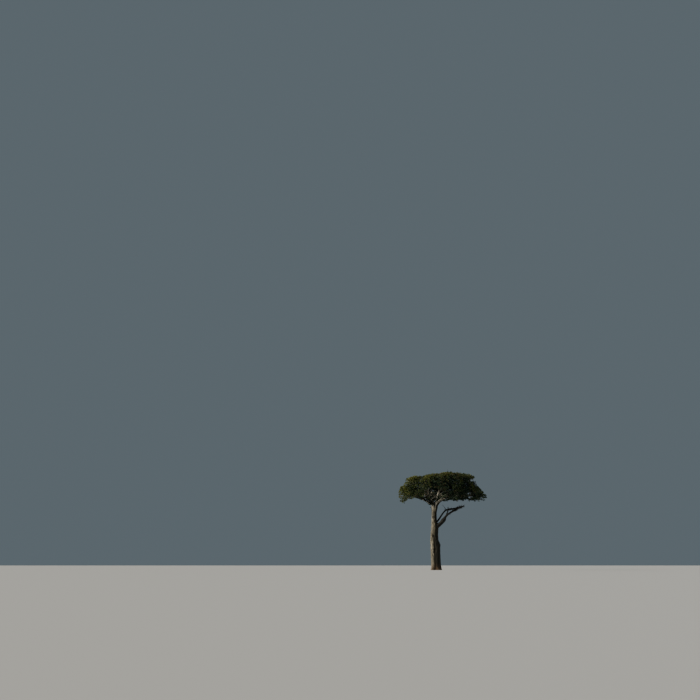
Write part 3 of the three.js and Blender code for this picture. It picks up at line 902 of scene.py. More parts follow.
def bark_finish(name, bark, cell, fine):
    """Furrowed bark: pale worn ridges, near-black furrows, painted shade on the side away from the
    sun and in the hollows, and boughs paler at the top, partly as painted light.

    Its patterns are as large as the cell asks, 1 on the trunk, and its grit as deep as the fine
    bump asks, in metres.
    """
    finish = Finish(name)
    scales = {pattern: waves / cell for pattern, waves in BARK_PATTERNS.items()}
    dark, shaded, foot = rgba(bark.dark), rgba(bark.shaded), rgba(bark.foot)
    grain = finish.attribute("grain", "Vector")
    relief = finish.attribute("relief", "Fac")
    hollow = finish.attribute("hollow", "Fac")
    height = finish.attribute("height", "Fac")
    sunny = finish.attribute("sunny", "Fac")
    to_bough_tone_and_painted_light = finish.spread(height, *BOUGH_COLOUR_RANGE)
    pale = finish.blend(to_bough_tone_and_painted_light, rgba(bark.pale), rgba(bark.bough_pale))
    middle = finish.blend(to_bough_tone_and_painted_light, rgba(bark.middle), rgba(bark.bough_middle))
    patches = finish.spread(finish.noise(grain, scales["patches"], 4), 0.36, 0.66)
    streaks = finish.noise(grain, scales["streaks"], 5, 0.65)
    flecks = finish.noise(grain, scales["flecks"], 3, 0.7)
    warped = finish.warped(grain, scales["warp"], CRACK_WANDER * cell)
    edges = finish.spread(finish.cracks(warped, scales["cracks"]), 0.0, 0.13)
    ridges = finish.spread(relief + streaks * 0.5, 0.25, 1.05)
    tone = finish.blend(ridges, dark, middle)
    tone = finish.blend(ridges * patches * 0.9 + flecks * 0.1, tone, pale)
    # Painted light and shade: the sun's side keeps the lit colours, and the rest takes the dark
    # shaded colour
    painted_sunlit = finish.spread(sunny + streaks * 0.5, 0.5, 0.95)
    tone = finish.blend(painted_sunlit, finish.blend(ridges, dark, shaded), tone)
    tone = finish.blend((1 - edges) * 0.3, tone, dark)
    near_foot = finish.spread(height + patches * 0.5, 1.15, 0.1)
    tone = finish.blend(near_foot * 0.6, tone, foot)
    # Painted shade in the hollows of the folds and knots
    tone = finish.blend(finish.spread(hollow, 0.1, 0.55), tone, dark)
    depth = streaks * 0.8 + edges * 0.4 + flecks * 0.4
    return finish.set_surface(
        {
            "Base Color": tone,
            "Roughness": 0.96 - patches * 0.1,
            "Specular IOR Level": 0.25,
            "Normal": finish.bump(depth, fine),
        }
    )


def dead_finish(name, colour):
    """Dry weathered wood: dark grey, darkened near black partly as painted shade, with fine dark
    splits along the limb.
    """
    finish = Finish(name)
    grain = finish.attribute("grain", "Vector")
    relief = finish.attribute("relief", "Fac")
    fibres = finish.noise(finish.scaled(grain, (1, 1, 0.35)), 85, 6, 0.7)
    patches = finish.spread(finish.noise(grain, 5.5, 3), 0.35, 0.7)
    splits = finish.spread(finish.cracks(finish.scaled(grain, (1, 1, 0.4)), 26), 0.0, 0.09)
    silver = rgba(min(1.0, SILVER_SHARE * part) for part in colour)
    black = rgba(BLACK_SHARE * part for part in colour)
    tone = finish.blend(patches * 0.6 + relief * 0.4, rgba(colour), silver)
    tone = finish.blend(finish.spread(fibres, 0.62, 0.4), tone, black)
    tone = finish.blend((1 - splits) * 0.8, tone, black)
    return finish.set_surface(
        {
            "Base Color": tone,
            "Roughness": 0.9,
            "Specular IOR Level": 0.3,
            "Normal": finish.bump(fibres * 0.6 + splits, 0.004),
        }
    )


def plain_finish(name, colour, roughness, gloss=0.5):
    finish = Finish(name)
    surface = {"Base Color": rgba(colour), "Roughness": roughness, "Specular IOR Level": gloss}
    return finish.set_surface(surface)


def twig_finish(name, colour):
    """Thin brown twigs, greyer in places along them."""
    finish = Finish(name)
    place = finish.output(finish.add("ShaderNodeTexCoord"), "Object")
    grey = rgba(0.5 * part + 0.09 for part in colour)
    greyed = finish.spread(finish.noise(place, 9, 3), 0.4, 0.65)
    return finish.set_surface(
        {
            "Base Color": finish.blend(greyed, rgba(colour), grey),
            "Roughness": 0.85,
            "Specular IOR Level": 0.3,
            "Normal": finish.bump(finish.noise(place, 160, 3), 0.002),
        }
    )


def leaf_finishes(crown):
    """The finishes of the leaves, in the order of their shades."""
    colours = (crown.deep, crown.dark_leaf, crown.middle_leaf, crown.olive, crown.light, crown.dry)
    named = zip(LEAF_SHADES, colours)
    return [plain_finish(f"leaf_{shade}", colour, 0.75, 0.2) for shade, colour in named]


# Bark meshes: a straight tube shaped by modifiers and then laid along its limb


def deselect_all():
    bpy.ops.object.select_all(action="DESELECT")


def straight_tube(name, sides, rings, length):
    """A closed tube of radius 1 from the ground up, its faces split evenly."""
    deselect_all()
    bpy.ops.mesh.primitive_circle_add(vertices=sides, radius=1, fill_type="NOTHING")
    piece = bpy.context.object
    piece.name = piece.data.name = name
    bpy.ops.object.mode_set(mode="EDIT")
    for _ in range(rings):
        bpy.ops.mesh.extrude_region_move(TRANSFORM_OT_translate={"value": (0, 0, length / rings)})
    bpy.ops.mesh.select_all(action="SELECT")
    bpy.ops.mesh.fill_holes(sides=0)
    bpy.ops.mesh.normals_make_consistent(inside=False)
    bpy.ops.object.mode_set(mode="OBJECT")
    add_modifier(piece, "SUBSURF", subdivision_type="SIMPLE", levels=SPLITS, render_levels=SPLITS)
    return piece


def add_modifier(piece, kind, **settings):
    """Adds a modifier and applies it."""
    modifier = piece.modifiers.new(kind.title(), kind)
    for name, value in settings.items():
        setattr(modifier, name, value)
    bpy.context.view_layer.objects.active = piece
    bpy.ops.object.modifier_apply(modifier=modifier.name)


def corner_places(piece):
    places = np.zeros(len(piece.data.vertices) * 3)
    piece.data.vertices.foreach_get("co", places)
    return places.reshape(-1, 3)


def set_places(piece, places):
    piece.data.vertices.foreach_set("co", np.asarray(places, np.float32).ravel())
    piece.data.update()


def set_attribute(piece, name, values):
    kind, field = ("FLOAT_VECTOR", "vector") if np.ndim(values) == 2 else ("FLOAT", "value")
    attribute = piece.data.attributes.new(name, kind, "POINT")
    attribute.data.foreach_set(field, np.asarray(values, np.float32).ravel())


def set_weights(piece, name, weights):
    """A vertex group from one weight per corner, in steps of a hundredth."""
    group = piece.vertex_groups.new(name=name)
    steps = np.round(np.clip(weights, 0, 1) * 100).astype(int)
    for step in np.unique(steps[steps > 0]):
        group.add(np.flatnonzero(steps == step).tolist(), step / 100, "REPLACE")
    return group.name


def trunk_outline(angle, height):
    """The trunk's flutes, the ribs at its top and the roots at its foot, by its radius."""
    twist = height / FLUTE_TURN_HEIGHT
    flutes = 0
    for count, depth, start, turn in FLUTES:
        flutes = flutes + depth * np.sin(count * angle + start + turn * twist)
    ribs = RIB_DEPTH * smooth_step(height, *RIB_HEIGHTS) * np.cos(SECTORS * angle)
    count, depth, start = ROOTS
    roots = ROOT_SPREAD + depth * np.sin(count * angle + start)
    return 1 + flutes + ribs + np.exp(-height / ROOT_FLARE_HEIGHT) * roots


class BarkPiece:
    """A limb's bark: shaped round a straight axis, given its relief and laid along the limb."""

    def __init__(self, name, limb, kind, number=0, outline=None):
        sides, rings, collar, first_seed = BARK_MESHES[kind]
        self.limb = limb
        self.seed = first_seed + number
        self.piece = straight_tube(name, sides, rings, limb.length)
        places = corner_places(self.piece)
        self.angle = np.arctan2(places[:, 1], places[:, 0])
        segment = 2 * math.pi / sides
        chord = math.cos(segment / 2) / np.cos(self.angle % segment - segment / 2)
        inset = np.clip(np.hypot(places[:, 0], places[:, 1]) / chord, 0, 1)
        self.on_side = inset > SIDE_INSET
        self.along = places[:, 2].copy()
        girth = limb.girth(np.clip(self.along / limb.length, 0, 1))
        self.radius = girth * (outline(self.angle, self.along) if outline else 1)
        swelling = collar * np.exp(-((self.along / (COLLAR_STRETCH * girth.max())) ** 2))
        self.radius = self.radius * (1 + swelling)
        self.slimness = girth / girth.max()
        self.hollow = np.zeros(len(places))
        spokes = np.stack([np.cos(self.angle), np.sin(self.angle)], axis=1)
        flat = spokes * (inset * self.radius)[:, None]
        set_places(self.piece, np.column_stack([flat, self.along]))
        set_attribute(self.piece, "grain", np.column_stack([flat, self.along / GRAIN_STRETCH]))

    def spot(self, azimuth, height, half_width, half_height):
        """A smooth bump of weight round one place on the limb's side."""
        turn = (self.angle - math.radians(azimuth) + math.pi) % (2 * math.pi) - math.pi
        wide = turn * self.radius / half_width
        tall = (self.along - height) / half_height
        return np.exp(-(wide**2) - tall**2) * self.on_side

    def mark(self, name, azimuth, height, half_width, half_height, depth):
        """Pushes one place on the side in or out, and keeps the weight of each place pushed in for
        the painted shade in it.
        """
        weights = self.spot(azimuth, height, half_width, half_height)
        group = set_weights(self.piece, name, weights)
        add_modifier(self.piece, "DISPLACE", strength=depth, mid_level=0, vertex_group=group)
        if depth < 0:
            self.hollow = np.maximum(self.hollow, weights)

    def roughen(self, layers):
        """Displaces the bark by each layer's texture, stretched along the limb."""
        guide = bpy.data.objects.new("grain_guide", None)
        bpy.context.scene.collection.objects.link(guide)
        guide.location = (TEXTURE_SPACING * self.seed, 0, 0)
        guide.scale = (1, 1, GRAIN_STRETCH)
        bpy.context.view_layer.update()
        group = set_weights(self.piece, "slimness", self.slimness * self.on_side)
        smooth = corner_places(self.piece)
        for texture, strength in layers:
            add_modifier(
                self.piece,
                "DISPLACE",
                texture=texture,
                texture_coords="OBJECT",
                texture_coords_object=guide,
                strength=strength,
                mid_level=0.5,
                vertex_group=group,
            )
        bpy.data.objects.remove(guide)
        lifted = np.hypot(*corner_places(self.piece)[:, :2].T) - np.hypot(*smooth[:, :2].T)
        low, high = np.percentile(lifted[self.on_side], RELIEF_PERCENTILES)
        set_attribute(self.piece, "relief", np.clip((lifted - low) / (high - low), 0, 1))

    def lay(self, level=False):
        """Bends the straight piece onto its limb and notes on each corner what its colour follows.

        Level rings keep the trunk's foot flat.
        """
        places = corner_places(self.piece)
        run = np.clip(places[:, 2], 0, self.limb.length)
        share = run / self.limb.length
        centres = self.limb.places(share)
        beyond = (places[:, 2] - run)[:, None]
        if level:
            right, back, on = np.array([1.0, 0, 0]), np.array([0, 1.0, 0]), UP
        else:
            right, back = self.limb.across(share)
            on = self.limb.directions(share)
        laid = centres + right * places[:, :1] + back * places[:, 1:2] + on * beyond
        if level:
            laid[:, 2] = np.maximum(laid[:, 2], 0)
            laid[self.along == 0, 2] = 0
        set_places(self.piece, laid)
        set_attribute(self.piece, "hollow", self.hollow)
        set_attribute(self.piece, "height", laid[:, 2])
        outward = right * np.cos(self.angle)[:, None] + back * np.sin(self.angle)[:, None]
        # The sunny attribute carries the bark's painted sun and shade
        set_attribute(self.piece, "sunny", painted_sun_and_shade(outward, laid[:, 2]))
        self.piece.vertex_groups.clear()
        self.piece.data.shade_smooth()
        return self.piece


def painted_sun_and_shade(outward, heights):
    """From 0 to 1, how far the bark keeps its lit colours: painted light on the sun's side and,
    less, on the lee side, and painted shade where it is 0.
    """
    azimuth = np.radians(np.interp(heights, SUNNY_HEIGHTS, SUNNY_AZIMUTHS))
    level = outward[:, 0] * np.cos(azimuth) + outward[:, 1] * np.sin(azimuth)
    facing = level + outward[:, 2] * SUNNY_TILT
    lee = outward[:, 0] * math.cos(LEE_AZIMUTH) + outward[:, 1] * math.sin(LEE_AZIMUTH)
    return np.maximum(smooth_step(facing, *SUNNY_RANGE), LEE_SHARE * smooth_step(lee, *LEE_RANGE))


def bark_layers(width, depth):
    """The textures of the bark and their strengths: swellings, ridges, long plates and grit."""
    layers = []
    for name, kind, grain, strength, settings in BARK_LAYERS:
        texture = bpy.data.textures.new(name, kind)
        texture.noise_scale = grain * width
        for setting, value in settings.items():
            setattr(texture, setting, value)
        layers.append((texture, strength * depth))
    return layers


def dress(piece, material, slot, *nodes):
    """Gives a piece its material and ties it to the tree's body."""
    for one in material if isinstance(material, list) else [material]:
        piece.data.materials.append(one)
    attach(piece, "root")
    if nodes:
        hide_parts(*nodes)


# Twigs, grown as arrays


def leaning(ways, angle, turn):
    """Directions that lean away from others by an angle, turned round them."""
    across = unit(np.cross(ways, UP) + 1e-6)
    over = np.cross(across, ways)
    angle = np.broadcast_to(angle, len(ways))[:, None]
    turn = np.broadcast_to(turn, len(ways))[:, None]
    aside = across * np.cos(turn) - over * np.sin(turn)
    return ways * np.cos(angle) + aside * np.sin(angle)


def shade_depth(places):
    """From 0 on the crown's outside to 1 deep inside it."""
    top = crown_top(places[:, 0], places[:, 1], 0)
    under_top = np.clip((top - places[:, 2]) / SHADE_BELOW_TOP, 0, 1)
    from_rim = np.clip((1 - crown_share(places[:, 0], places[:, 1])) / SHADE_FROM_RIM, 0, 1)
    return np.minimum(under_top, from_rim)


def nearby(distance, full, none):
    """1 up to one distance, and from there down to 0 at another."""
    return smooth_step(-distance, -none, -full)


def gap(places):
    """Up to 1 before the fork, where the boughs show, and on the sun's way to it."""
    across = (places[:, 0] - GAP_MIDDLE[0]) / GAP_HALF[0]
    up = (places[:, 2] - GAP_MIDDLE[1]) / GAP_HALF[1]
    before_fork = nearby(np.hypot(across, up), *GAP_FADE) * nearby(places[:, 1], *GAP_DEPTH)
    from_foot = places - SUN_GAP_FOOT
    sunlight = unit(np.array(SUNLIGHT))
    towards_sun = np.minimum(from_foot @ sunlight, 0)[:, None] * sunlight
    aside = np.linalg.norm(from_foot - towards_sun, axis=1) / SUN_GAP_RADIUS
    either = np.maximum(before_fork, nearby(aside, *SUN_GAP_FADE))
    return either * smooth_step(places[:, 2], *GAP_FLOOR)


def opening(places):
    """How much growth is left out where sky shows through the crown or under it."""
    nearness = 1 + places[:, 1] / VIEW_DISTANCE
    across = places[:, 0] / nearness
    up = VIEW_HEIGHT + (places[:, 2] - VIEW_HEIGHT) / nearness
    left_out = np.zeros(len(places))
    for x, z, half_width, half_height, share in OPENINGS:
        aside = np.hypot((across - x) / half_width, (up - z) / half_height)
        left_out = np.maximum(left_out, share * nearby(aside, *OPENING_FADE))
    return left_out


class Twigs:
    """Twigs of one kind: their paths, all of the same number of points, lengths and radii."""

    STEPS = 12
    LEAST_STEPS = 3

    def __init__(self, paths, lengths, radii):
        self.paths = paths
        self.lengths = lengths
        self.radii = radii

    def with_more(self, others):
        """These twigs and others that have as many points each."""
        paths = np.concatenate([self.paths, others.paths])
        lengths = np.concatenate([self.lengths, others.lengths])
        return Twigs(paths, lengths, np.concatenate([self.radii, others.radii]))

    @classmethod
    def grown(cls, kind, mass, starts, ways, lengths, radii, rng):
        """Grows each twig step by step, rising a little, until it would leave the mass's space.

        Those that stay too short are left out, and so is a share of those whose tips are in a gap.
        """
        lift, wander, points = HABITS[kind]
        count = len(starts)
        track = np.repeat(starts[:, None], cls.STEPS + 1, axis=1)
        reached = np.zeros(count, int)
        growing = np.ones(count, bool)
        ways = ways.copy()
        stride = (lengths / cls.STEPS)[:, None]
        for step in range(1, cls.STEPS + 1):
            ways = unit(ways + UP * (lift / cls.STEPS) + rng.normal(0, wander, (count, 3)))
            ahead = track[:, step - 1] + ways * stride
            growing &= mass.holds(ahead) if mass else True
            track[growing, step:] = ahead[growing, None]
            reached[growing] = step
        kept = reached >= cls.LEAST_STEPS
        in_gap = (GAP_SHARE if mass else SPRIG_GAP_SHARE) * gap(track[:, -1])
        thinned = np.maximum(opening(track[:, -1]), in_gap)
        kept &= rng.random(count) >= thinned
        spots = np.linspace(0, 1, points) * reached[kept, None]
        whole = np.minimum(spots.astype(int), cls.STEPS - 1)
        part = (spots - whole)[..., None]
        rows = np.arange(kept.sum())[:, None]
        track = track[kept]
        paths = track[rows, whole] * (1 - part) + track[rows, whole + 1] * part
        lengths = lengths[kept] * reached[kept] / cls.STEPS
        return cls(paths, lengths, np.broadcast_to(radii, count)[kept])

    def at(self, which, share):
        """Places and directions on the given twigs, at shares of their length."""
        spots = share * (self.paths.shape[1] - 1)
        whole = np.minimum(spots.astype(int), self.paths.shape[1] - 2)
        start, end = self.paths[which, whole], self.paths[which, whole + 1]
        return start + (end - start) * (spots - whole)[:, None], unit(end - start)

    def sites(self, spacing, bare, rng):
        """Where side twigs leave: the twig of each, its share along it and its number on it."""
        counts = np.maximum(1, np.round(self.lengths * (1 - bare) / spacing).astype(int))
        which = np.repeat(np.arange(len(counts)), counts)
        number = np.arange(len(which)) - np.repeat(np.cumsum(counts) - counts, counts)
        place = number + rng.uniform(*SITE_SCATTER, len(which))
        share = bare + (1 - bare) * place / counts[which]
        return which, share, number

    def tubes(self, sides):
        """Corners and triangles of closed tubes that taper to a point."""
        count, points = self.paths.shape[:2]
        ways = unit(np.gradient(self.paths, axis=1))
        right = unit(np.cross(ways, UP) + 1e-6)
        back = np.cross(ways, right)
        turns = np.arange(sides) * 2 * math.pi / sides
        taper = np.linspace(1, TWIG_TAPER, points)[None, :, None, None]
        taper = taper * self.radii[:, None, None, None]
        turn, rise = np.cos(turns)[:, None], np.sin(turns)[:, None]
        rings = right[:, :, None] * turn + back[:, :, None] * rise
        rings = self.paths[:, :, None] + rings * taper
        corners = np.concatenate([rings[:, :-1].reshape(count, -1, 3), self.paths[:, -1:]], axis=1)
        faces = []
        tip = (points - 1) * sides
        for k in range(sides):
            on = (k + 1) % sides
            for ring in range(points - 2):
                low, high = ring * sides, (ring + 1) * sides
                faces += [(low + k, low + on, high + on), (low + k, high + on, high + k)]
            faces.append((tip - sides + k, tip - sides + on, tip))
            if 0 < k < sides - 1:
                faces.append((0, k + 1, k))
        faces = np.array(faces)[:, ::-1]
        stride = (np.arange(count) * corners.shape[1])[:, None, None]
        return corners.reshape(-1, 3), (faces[None] + stride).reshape(-1, 3)


def joined(parts):
    """Several lots of corners and triangles as one."""
    corners, faces, base = [], [], 0
    for places, triangles in parts:
        corners.append(places)
        faces.append(triangles + base)
        base += len(places)
    return np.concatenate(corners), np.concatenate(faces)


def joined_kinds(parts):
    """Several lots of corners, triangles and their finishes as one."""
    corners, faces = joined([(places, triangles) for places, triangles, _ in parts])
    return corners, faces, np.concatenate([kinds for _, _, kinds in parts])


def mesh_piece(name, corners, faces, finishes=None, smooth=False):
    mesh = bpy.data.meshes.new(name)
    mesh.vertices.add(len(corners))
    mesh.vertices.foreach_set("co", np.asarray(corners, np.float32).ravel())
    mesh.loops.add(3 * len(faces))
    mesh.loops.foreach_set("vertex_index", np.asarray(faces, np.int32).ravel())
    mesh.polygons.add(len(faces))
    mesh.polygons.foreach_set("loop_start", np.arange(0, 3 * len(faces), 3, dtype=np.int32))
    mesh.polygons.foreach_set("use_smooth", np.full(len(faces), smooth))
    if finishes is not None:
        mesh.polygons.foreach_set("material_index", np.asarray(finishes, np.int32))
    mesh.update(calc_edges=True)
    piece = bpy.data.objects.new(name, mesh)
    bpy.context.scene.collection.objects.link(piece)
    return piece


# Leaves


def leaf_corners(shoots, crown, rng):
    """Pairs of leaflets all round each shoot, and the shoot of each.

    A pair has four corners: a root on the shoot, a tip aside, the next root and the other tip.
    """
    per_shoot = crown.leaves_per_shoot
    which = np.repeat(np.arange(len(shoots.lengths)), per_shoot)
    share = np.tile((np.arange(per_shoot) + PAIR_OFFSET) / per_shoot, len(shoots.lengths))
    middles, ways = shoots.at(which, share)
    across = unit(np.cross(ways, UP) + 1e-6)
    face = np.cross(across, ways)
    first = rng.uniform(0, math.pi, len(shoots.lengths))
    roll = first[which] + GOLDEN_ANGLE * np.arange(len(which))
    turn, rise = np.cos(roll)[:, None], np.sin(roll)[:, None]
    across, face = across * turn + face * rise, face * turn - across * rise
    shape = 0.5 + 0.5 * np.sin(math.pi * (PAIR_WAVE[0] + PAIR_WAVE[1] * share))
    length = crown.leaf_length * shape * rng.uniform(*SIZE_SCATTER, len(which))
    length = (length * (1 + SHADE_GROWTH * shade_depth(middles)))[:, None]
    root = ways * crown.leaf_width * (PAIR_ROOT[0] + PAIR_ROOT[1] * shape[:, None]) / 2
    ahead = middles + ways * length * LEAFLET_LEAN
    sag = face * length * rng.normal(*LEAF_SAG, len(which))[:, None]
    other_sag = face * length * rng.normal(*LEAF_SAG, len(which))[:, None]
    tips = ahead - across * length + sag
    other_tips = ahead + across * length + other_sag
    return np.stack([middles - root, tips, middles + root, other_tips], axis=1), which


def leaf_faces(count):
    base = 4 * np.arange(count)[:, None, None]
    return (base + np.array([[0, 2, 1], [0, 3, 2]])[None]).reshape(-1, 3)


def patchiness(places):
    """A slow change over the crown, mostly from -1 to 1, that neighbouring sprays share."""
    return np.sin(places @ PATCH_WAVES + PATCH_PHASES).sum(axis=1) / 2


def spray_shades(tips, rng):
    """A tone for each spray: lighter on the crown's outside and top, darker deep inside it and to
    the right, as painted light and shade.
    """
    top = crown_top(tips[:, 0], tips[:, 1], 0)
    rise = np.clip(1 - (top - tips[:, 2]) / LIGHT_BELOW_TOP, 0, 1)
    rim = np.clip((crown_share(tips[:, 0], tips[:, 1]) - LIGHT_RIM[0]) / LIGHT_RIM[1], 0, 1)
    light = np.maximum(rise**RISE_POWER, RIM_LIGHT * rim) * LIGHT_STEPS
    light = light + PATCH_STEPS * patchiness(tips) + rng.normal(*CHANCE_STEPS, len(tips))
    dry_shade = LEAF_SHADES.index("dry")
    shade = np.clip(np.floor(light - SHADE_STEPS_TO_RIGHT * tips[:, 0]), 0, dry_shade - 1).astype(int)
    brown = np.exp(-(((tips[:, 0] - DRY_MIDDLE_X) / DRY_HALF_WIDTH) ** 2))
    dry = rng.random(len(tips)) < DRY_SHARES[0] + DRY_SHARES[1] * brown * rise**DRY_RISE_POWER
    return np.where(dry, dry_shade, shade)


# Growth: twigs, shoots and leaves from the branches of a mass, of a bough or of the rim


class Foliage:
    """Twigs, shoots and leaves that grow on from branches, each from the one before."""

    def __init__(self, mass, crown, seed):
        self.mass = mass
        self.crown = crown
        self.rng = np.random.default_rng(seed)

    def grow_from(self, branches, stems=()):
        """Grows twigs on the branches and stems, and shoots on the branches and twigs."""
        spacing = self.crown.shoot_spacing
        self.branches = branches
        self.twigs = self.offshoots("branch_twigs", branches, self.crown.twig_spacing)
        for stem in stems:
            self.twigs = self.twigs.with_more(self.offshoots("stem_twigs", stem, STEM_TWIG_SPACING))
        on_branches = self.offshoots("branch_shoots", branches, BRANCH_SHOOT_SPACING * spacing)
        on_twigs = self.offshoots("twig_shoots", self.twigs, spacing)
        self.shoots = [on_branches, on_twigs, self.ends(branches), self.ends(self.twigs)]

    def offshoots(self, growth, parents, spacing):
        """Side twigs to the left and right of their parents, shorter towards the tips."""
        kind, bare, span, radius = SIDE_GROWTH[growth]
        rng = self.rng
        which, share, number = parents.sites(spacing, bare, rng)
        starts, ways = parents.at(which, share)
        turn = (number % 2) * math.pi + rng.normal(0, SIDE_TURN_SCATTER, len(which))
        ways = leaning(ways, rng.normal(*SIDE_ANGLE, len(which)), turn)
        lengths = rng.uniform(*span, len(which)) * (1 - SIDE_SHORTENING * share)
        radii = radius * rng.uniform(*SIZE_SCATTER, len(which))
        return Twigs.grown(kind, self.mass, starts, ways, lengths, radii, rng)

    def ends(self, parents):
        """The last stretch of each twig, which bears leaves as a shoot does and adds no wood."""
        tips = parents.paths[:, -1]
        shares = np.clip(1 - END_LENGTH / parents.lengths, END_START, 1)
        starts, _ = parents.at(np.arange(len(tips)), shares)
        paths = starts[:, None] + (tips - starts)[:, None] * np.linspace(0, 1, END_POINTS)[:, None]
        return Twigs(paths, np.linalg.norm(tips - starts, axis=1), np.zeros(len(tips)))

    def wood(self, thick=()):
        """Corners, triangles and a finish for each triangle: 0 on branches and 1 on twigs."""
        thick = [*thick, self.branches.tubes(BRANCH_SIDES)]
        thin = [grown.tubes(TWIG_SIDES) for grown in (self.twigs, *self.shoots[:2])]
        corners, faces = joined(thick + thin)
        branch_faces = sum(len(triangles) for _, triangles in thick)
        return corners, faces, np.arange(len(faces)) >= branch_faces

    def leaves(self):
        """Corners, triangles and a shade for each triangle."""
        corners, shades = [], []
        for shoots in self.shoots:
            places, which = leaf_corners(shoots, self.crown, self.rng)
            corners.append(places)
            shades.append(spray_shades(shoots.paths[:, -1], self.rng)[which])
        corners = np.concatenate(corners)
        shades = np.repeat(np.concatenate(shades), 2)
        return corners.reshape(-1, 3), leaf_faces(len(corners)), shades


def between(span, part):
    return span[0] + (span[1] - span[0]) * part


class Growth(Foliage):
    """Grows one mass on the stem that carries its bough on."""

    def __init__(self, mass, limb, crown, seed):
        super().__init__(mass, crown, seed)
        self.stem = self.stem_from(limb)
        track = self.stem.places(np.linspace(0, 1, STEM_POINTS))[None]
        self.stem_tube = Twigs(track, np.array([self.stem.length]), self.stem.girth([0.0]))
        self.grow_from(self.stem_branches(), [self.stem_tube])

    def stem_from(self, limb):
        """The stem leaves the bough's tip in line with it and bends up through the mass."""
        mass = self.mass
        outward = limb.direction(1)
        foot = limb.point(1)
        top = crown_top(mass.middle[0], mass.middle[1], 0)
        head = np.array([*mass.middle[:2], mass.underside + (top - mass.underside) * STEM_RISE])
        bend = foot + outward * (head[2] - foot[2]) * STEM_BEND
        girth = limb.girth(1)[0]
        half_way = (foot + 2 * bend + head) / 4
        aside = STEM_WANDER * np.array([*self.rng.uniform(-1, 1, 2), 0])
        straight = foot + outward * STEM_STRAIGHT
        points = [foot, straight, half_way + aside, (half_way + head) / 2 - aside, head]
        radii = [girth, girth, *(part * girth for part in STEM_TAPER), STEM_TIP_RADIUS]
        return Limb([[z, x, y, radius] for (x, y, z), radius in zip(points, radii)])

    def stem_branches(self):
        """Branches run out to the rim, all round the stem, and flat out at its head."""
        aims = [*self.rim_aims(), *self.spoke_aims(), *self.head_aims()]
        shares, ways = (np.array(part) for part in zip(*aims))
        starts = self.stem.places(shares)
        lengths = np.maximum(self.mass.reach(starts, ways), SHORTEST_BRANCH)
        lengths = lengths * self.rng.uniform(*BRANCH_REACH, len(starts))
        radii = BRANCH_GIRTH * self.stem.girth(shares)
        return Twigs.grown("branch", self.mass, starts, ways, lengths, radii, self.rng)

    def rim_aims(self):
        """Where each branch to the rim leaves the stem, as a share of it, and its direction."""
        mass, rng = self.mass, self.rng
        if mass.azimuth is None:
            return
        rim = CROWN_RIM - CROWN_RIM_TILT * math.cos(mass.azimuth)
        for turn in RIM_TURNS:
            level = rng.uniform(*RIM_LEVELS)
            share = RIM_START + RIM_STEP * level
            rise = np.interp(level, (-1, 0, 1), RIM_HEIGHTS) + rng.uniform(*RIM_RAISE)
            aim = crown_point(mass.azimuth + turn * RIM_SPREAD, 1, rim + rise)
            yield share, unit(aim - self.stem.point(share))

    def spoke_aims(self):
        """The same for the branches all round the stem."""
        count, rng = self.crown.spokes, self.rng
        for i in range(count):
            part = i / (count - 1)
            rise = between(SPOKE_RISE, part) + rng.uniform(-SPOKE_RISE_SCATTER, SPOKE_RISE_SCATTER)
            azimuth = i * GOLDEN_ANGLE + rng.uniform(-SPOKE_TURN_SCATTER, SPOKE_TURN_SCATTER)
            flat = math.sqrt(1 - rise * rise)
            way = [flat * math.cos(azimuth), flat * math.sin(azimuth), rise]
            yield between(SPOKE_START, part), way

    def head_aims(self):
        """The same for the flat branches at the stem's head."""
        count = self.crown.head_branches
        for i in range(count):
            azimuth = (i + self.rng.uniform(-HEAD_SCATTER, HEAD_SCATTER)) * 2 * math.pi / count
            lean = HEAD_LEAN - HEAD_LEAN_STEP * (i % 2)
            flat = math.sin(lean)
            way = [flat * math.cos(azimuth), flat * math.sin(azimuth), math.cos(lean)]
            yield HEAD_START - HEAD_STEP * i, way

    def wood(self):
        return super().wood([self.stem_tube.tubes(STEM_SIDES)])


class BoughSprigs(Foliage):
    """Leafy sprigs on the lower stretch of one bough, below the masses."""

    def __init__(self, limb, count, crown, seed):
        super().__init__(None, crown, seed)
        rng = self.rng
        start = LEFT_SPRIG_START if limb.point(0.5)[0] < LEFT_SPRIG_X else SPRIG_STRETCH[0]
        share = rng.uniform(start, SPRIG_STRETCH[1], count)
        turn = rng.uniform(-math.pi, math.pi, count)
        ways = leaning(limb.directions(share), rng.uniform(*SPRIG_ANGLES, count), turn)
        ways = unit(ways + UP * rng.uniform(*SPRIG_RISES, count)[:, None])
        lengths = rng.uniform(*SPRIG_SPAN, count)
        starts = limb.places(share)
        self.grow_from(Twigs.grown("sprig", None, starts, ways, lengths, SPRIG_RADIUS, rng))


class RimWisps(Foliage):
    """Thin sprays that hang from the crown's rim."""

    def __init__(self, crown):
        super().__init__(None, crown, WISP_SEED)
        rng = self.rng
        more = rng.uniform(*WISP_AZIMUTHS, MORE_WISPS)
        azimuths = np.radians(np.concatenate([FRONT_WISPS, more]))
        front_drops = np.full(len(FRONT_WISPS), FRONT_WISP_DROP)
        drops = np.concatenate([front_drops, rng.uniform(*WISP_DROPS, MORE_WISPS)])
        roots = np.array([crown_point(azimuth, WISP_RING[0], WISP_HEIGHT) for azimuth in azimuths])
        tips = [crown_point(azimuth, WISP_RING[1], WISP_HEIGHT) for azimuth in azimuths]
        tips = np.array(tips) - np.outer(drops, UP)
        runs = tips - roots
        lengths = np.linalg.norm(runs, axis=1)
        self.grow_from(Twigs.grown("wisp", None, roots, unit(runs), lengths, WISP_RADIUS, rng))


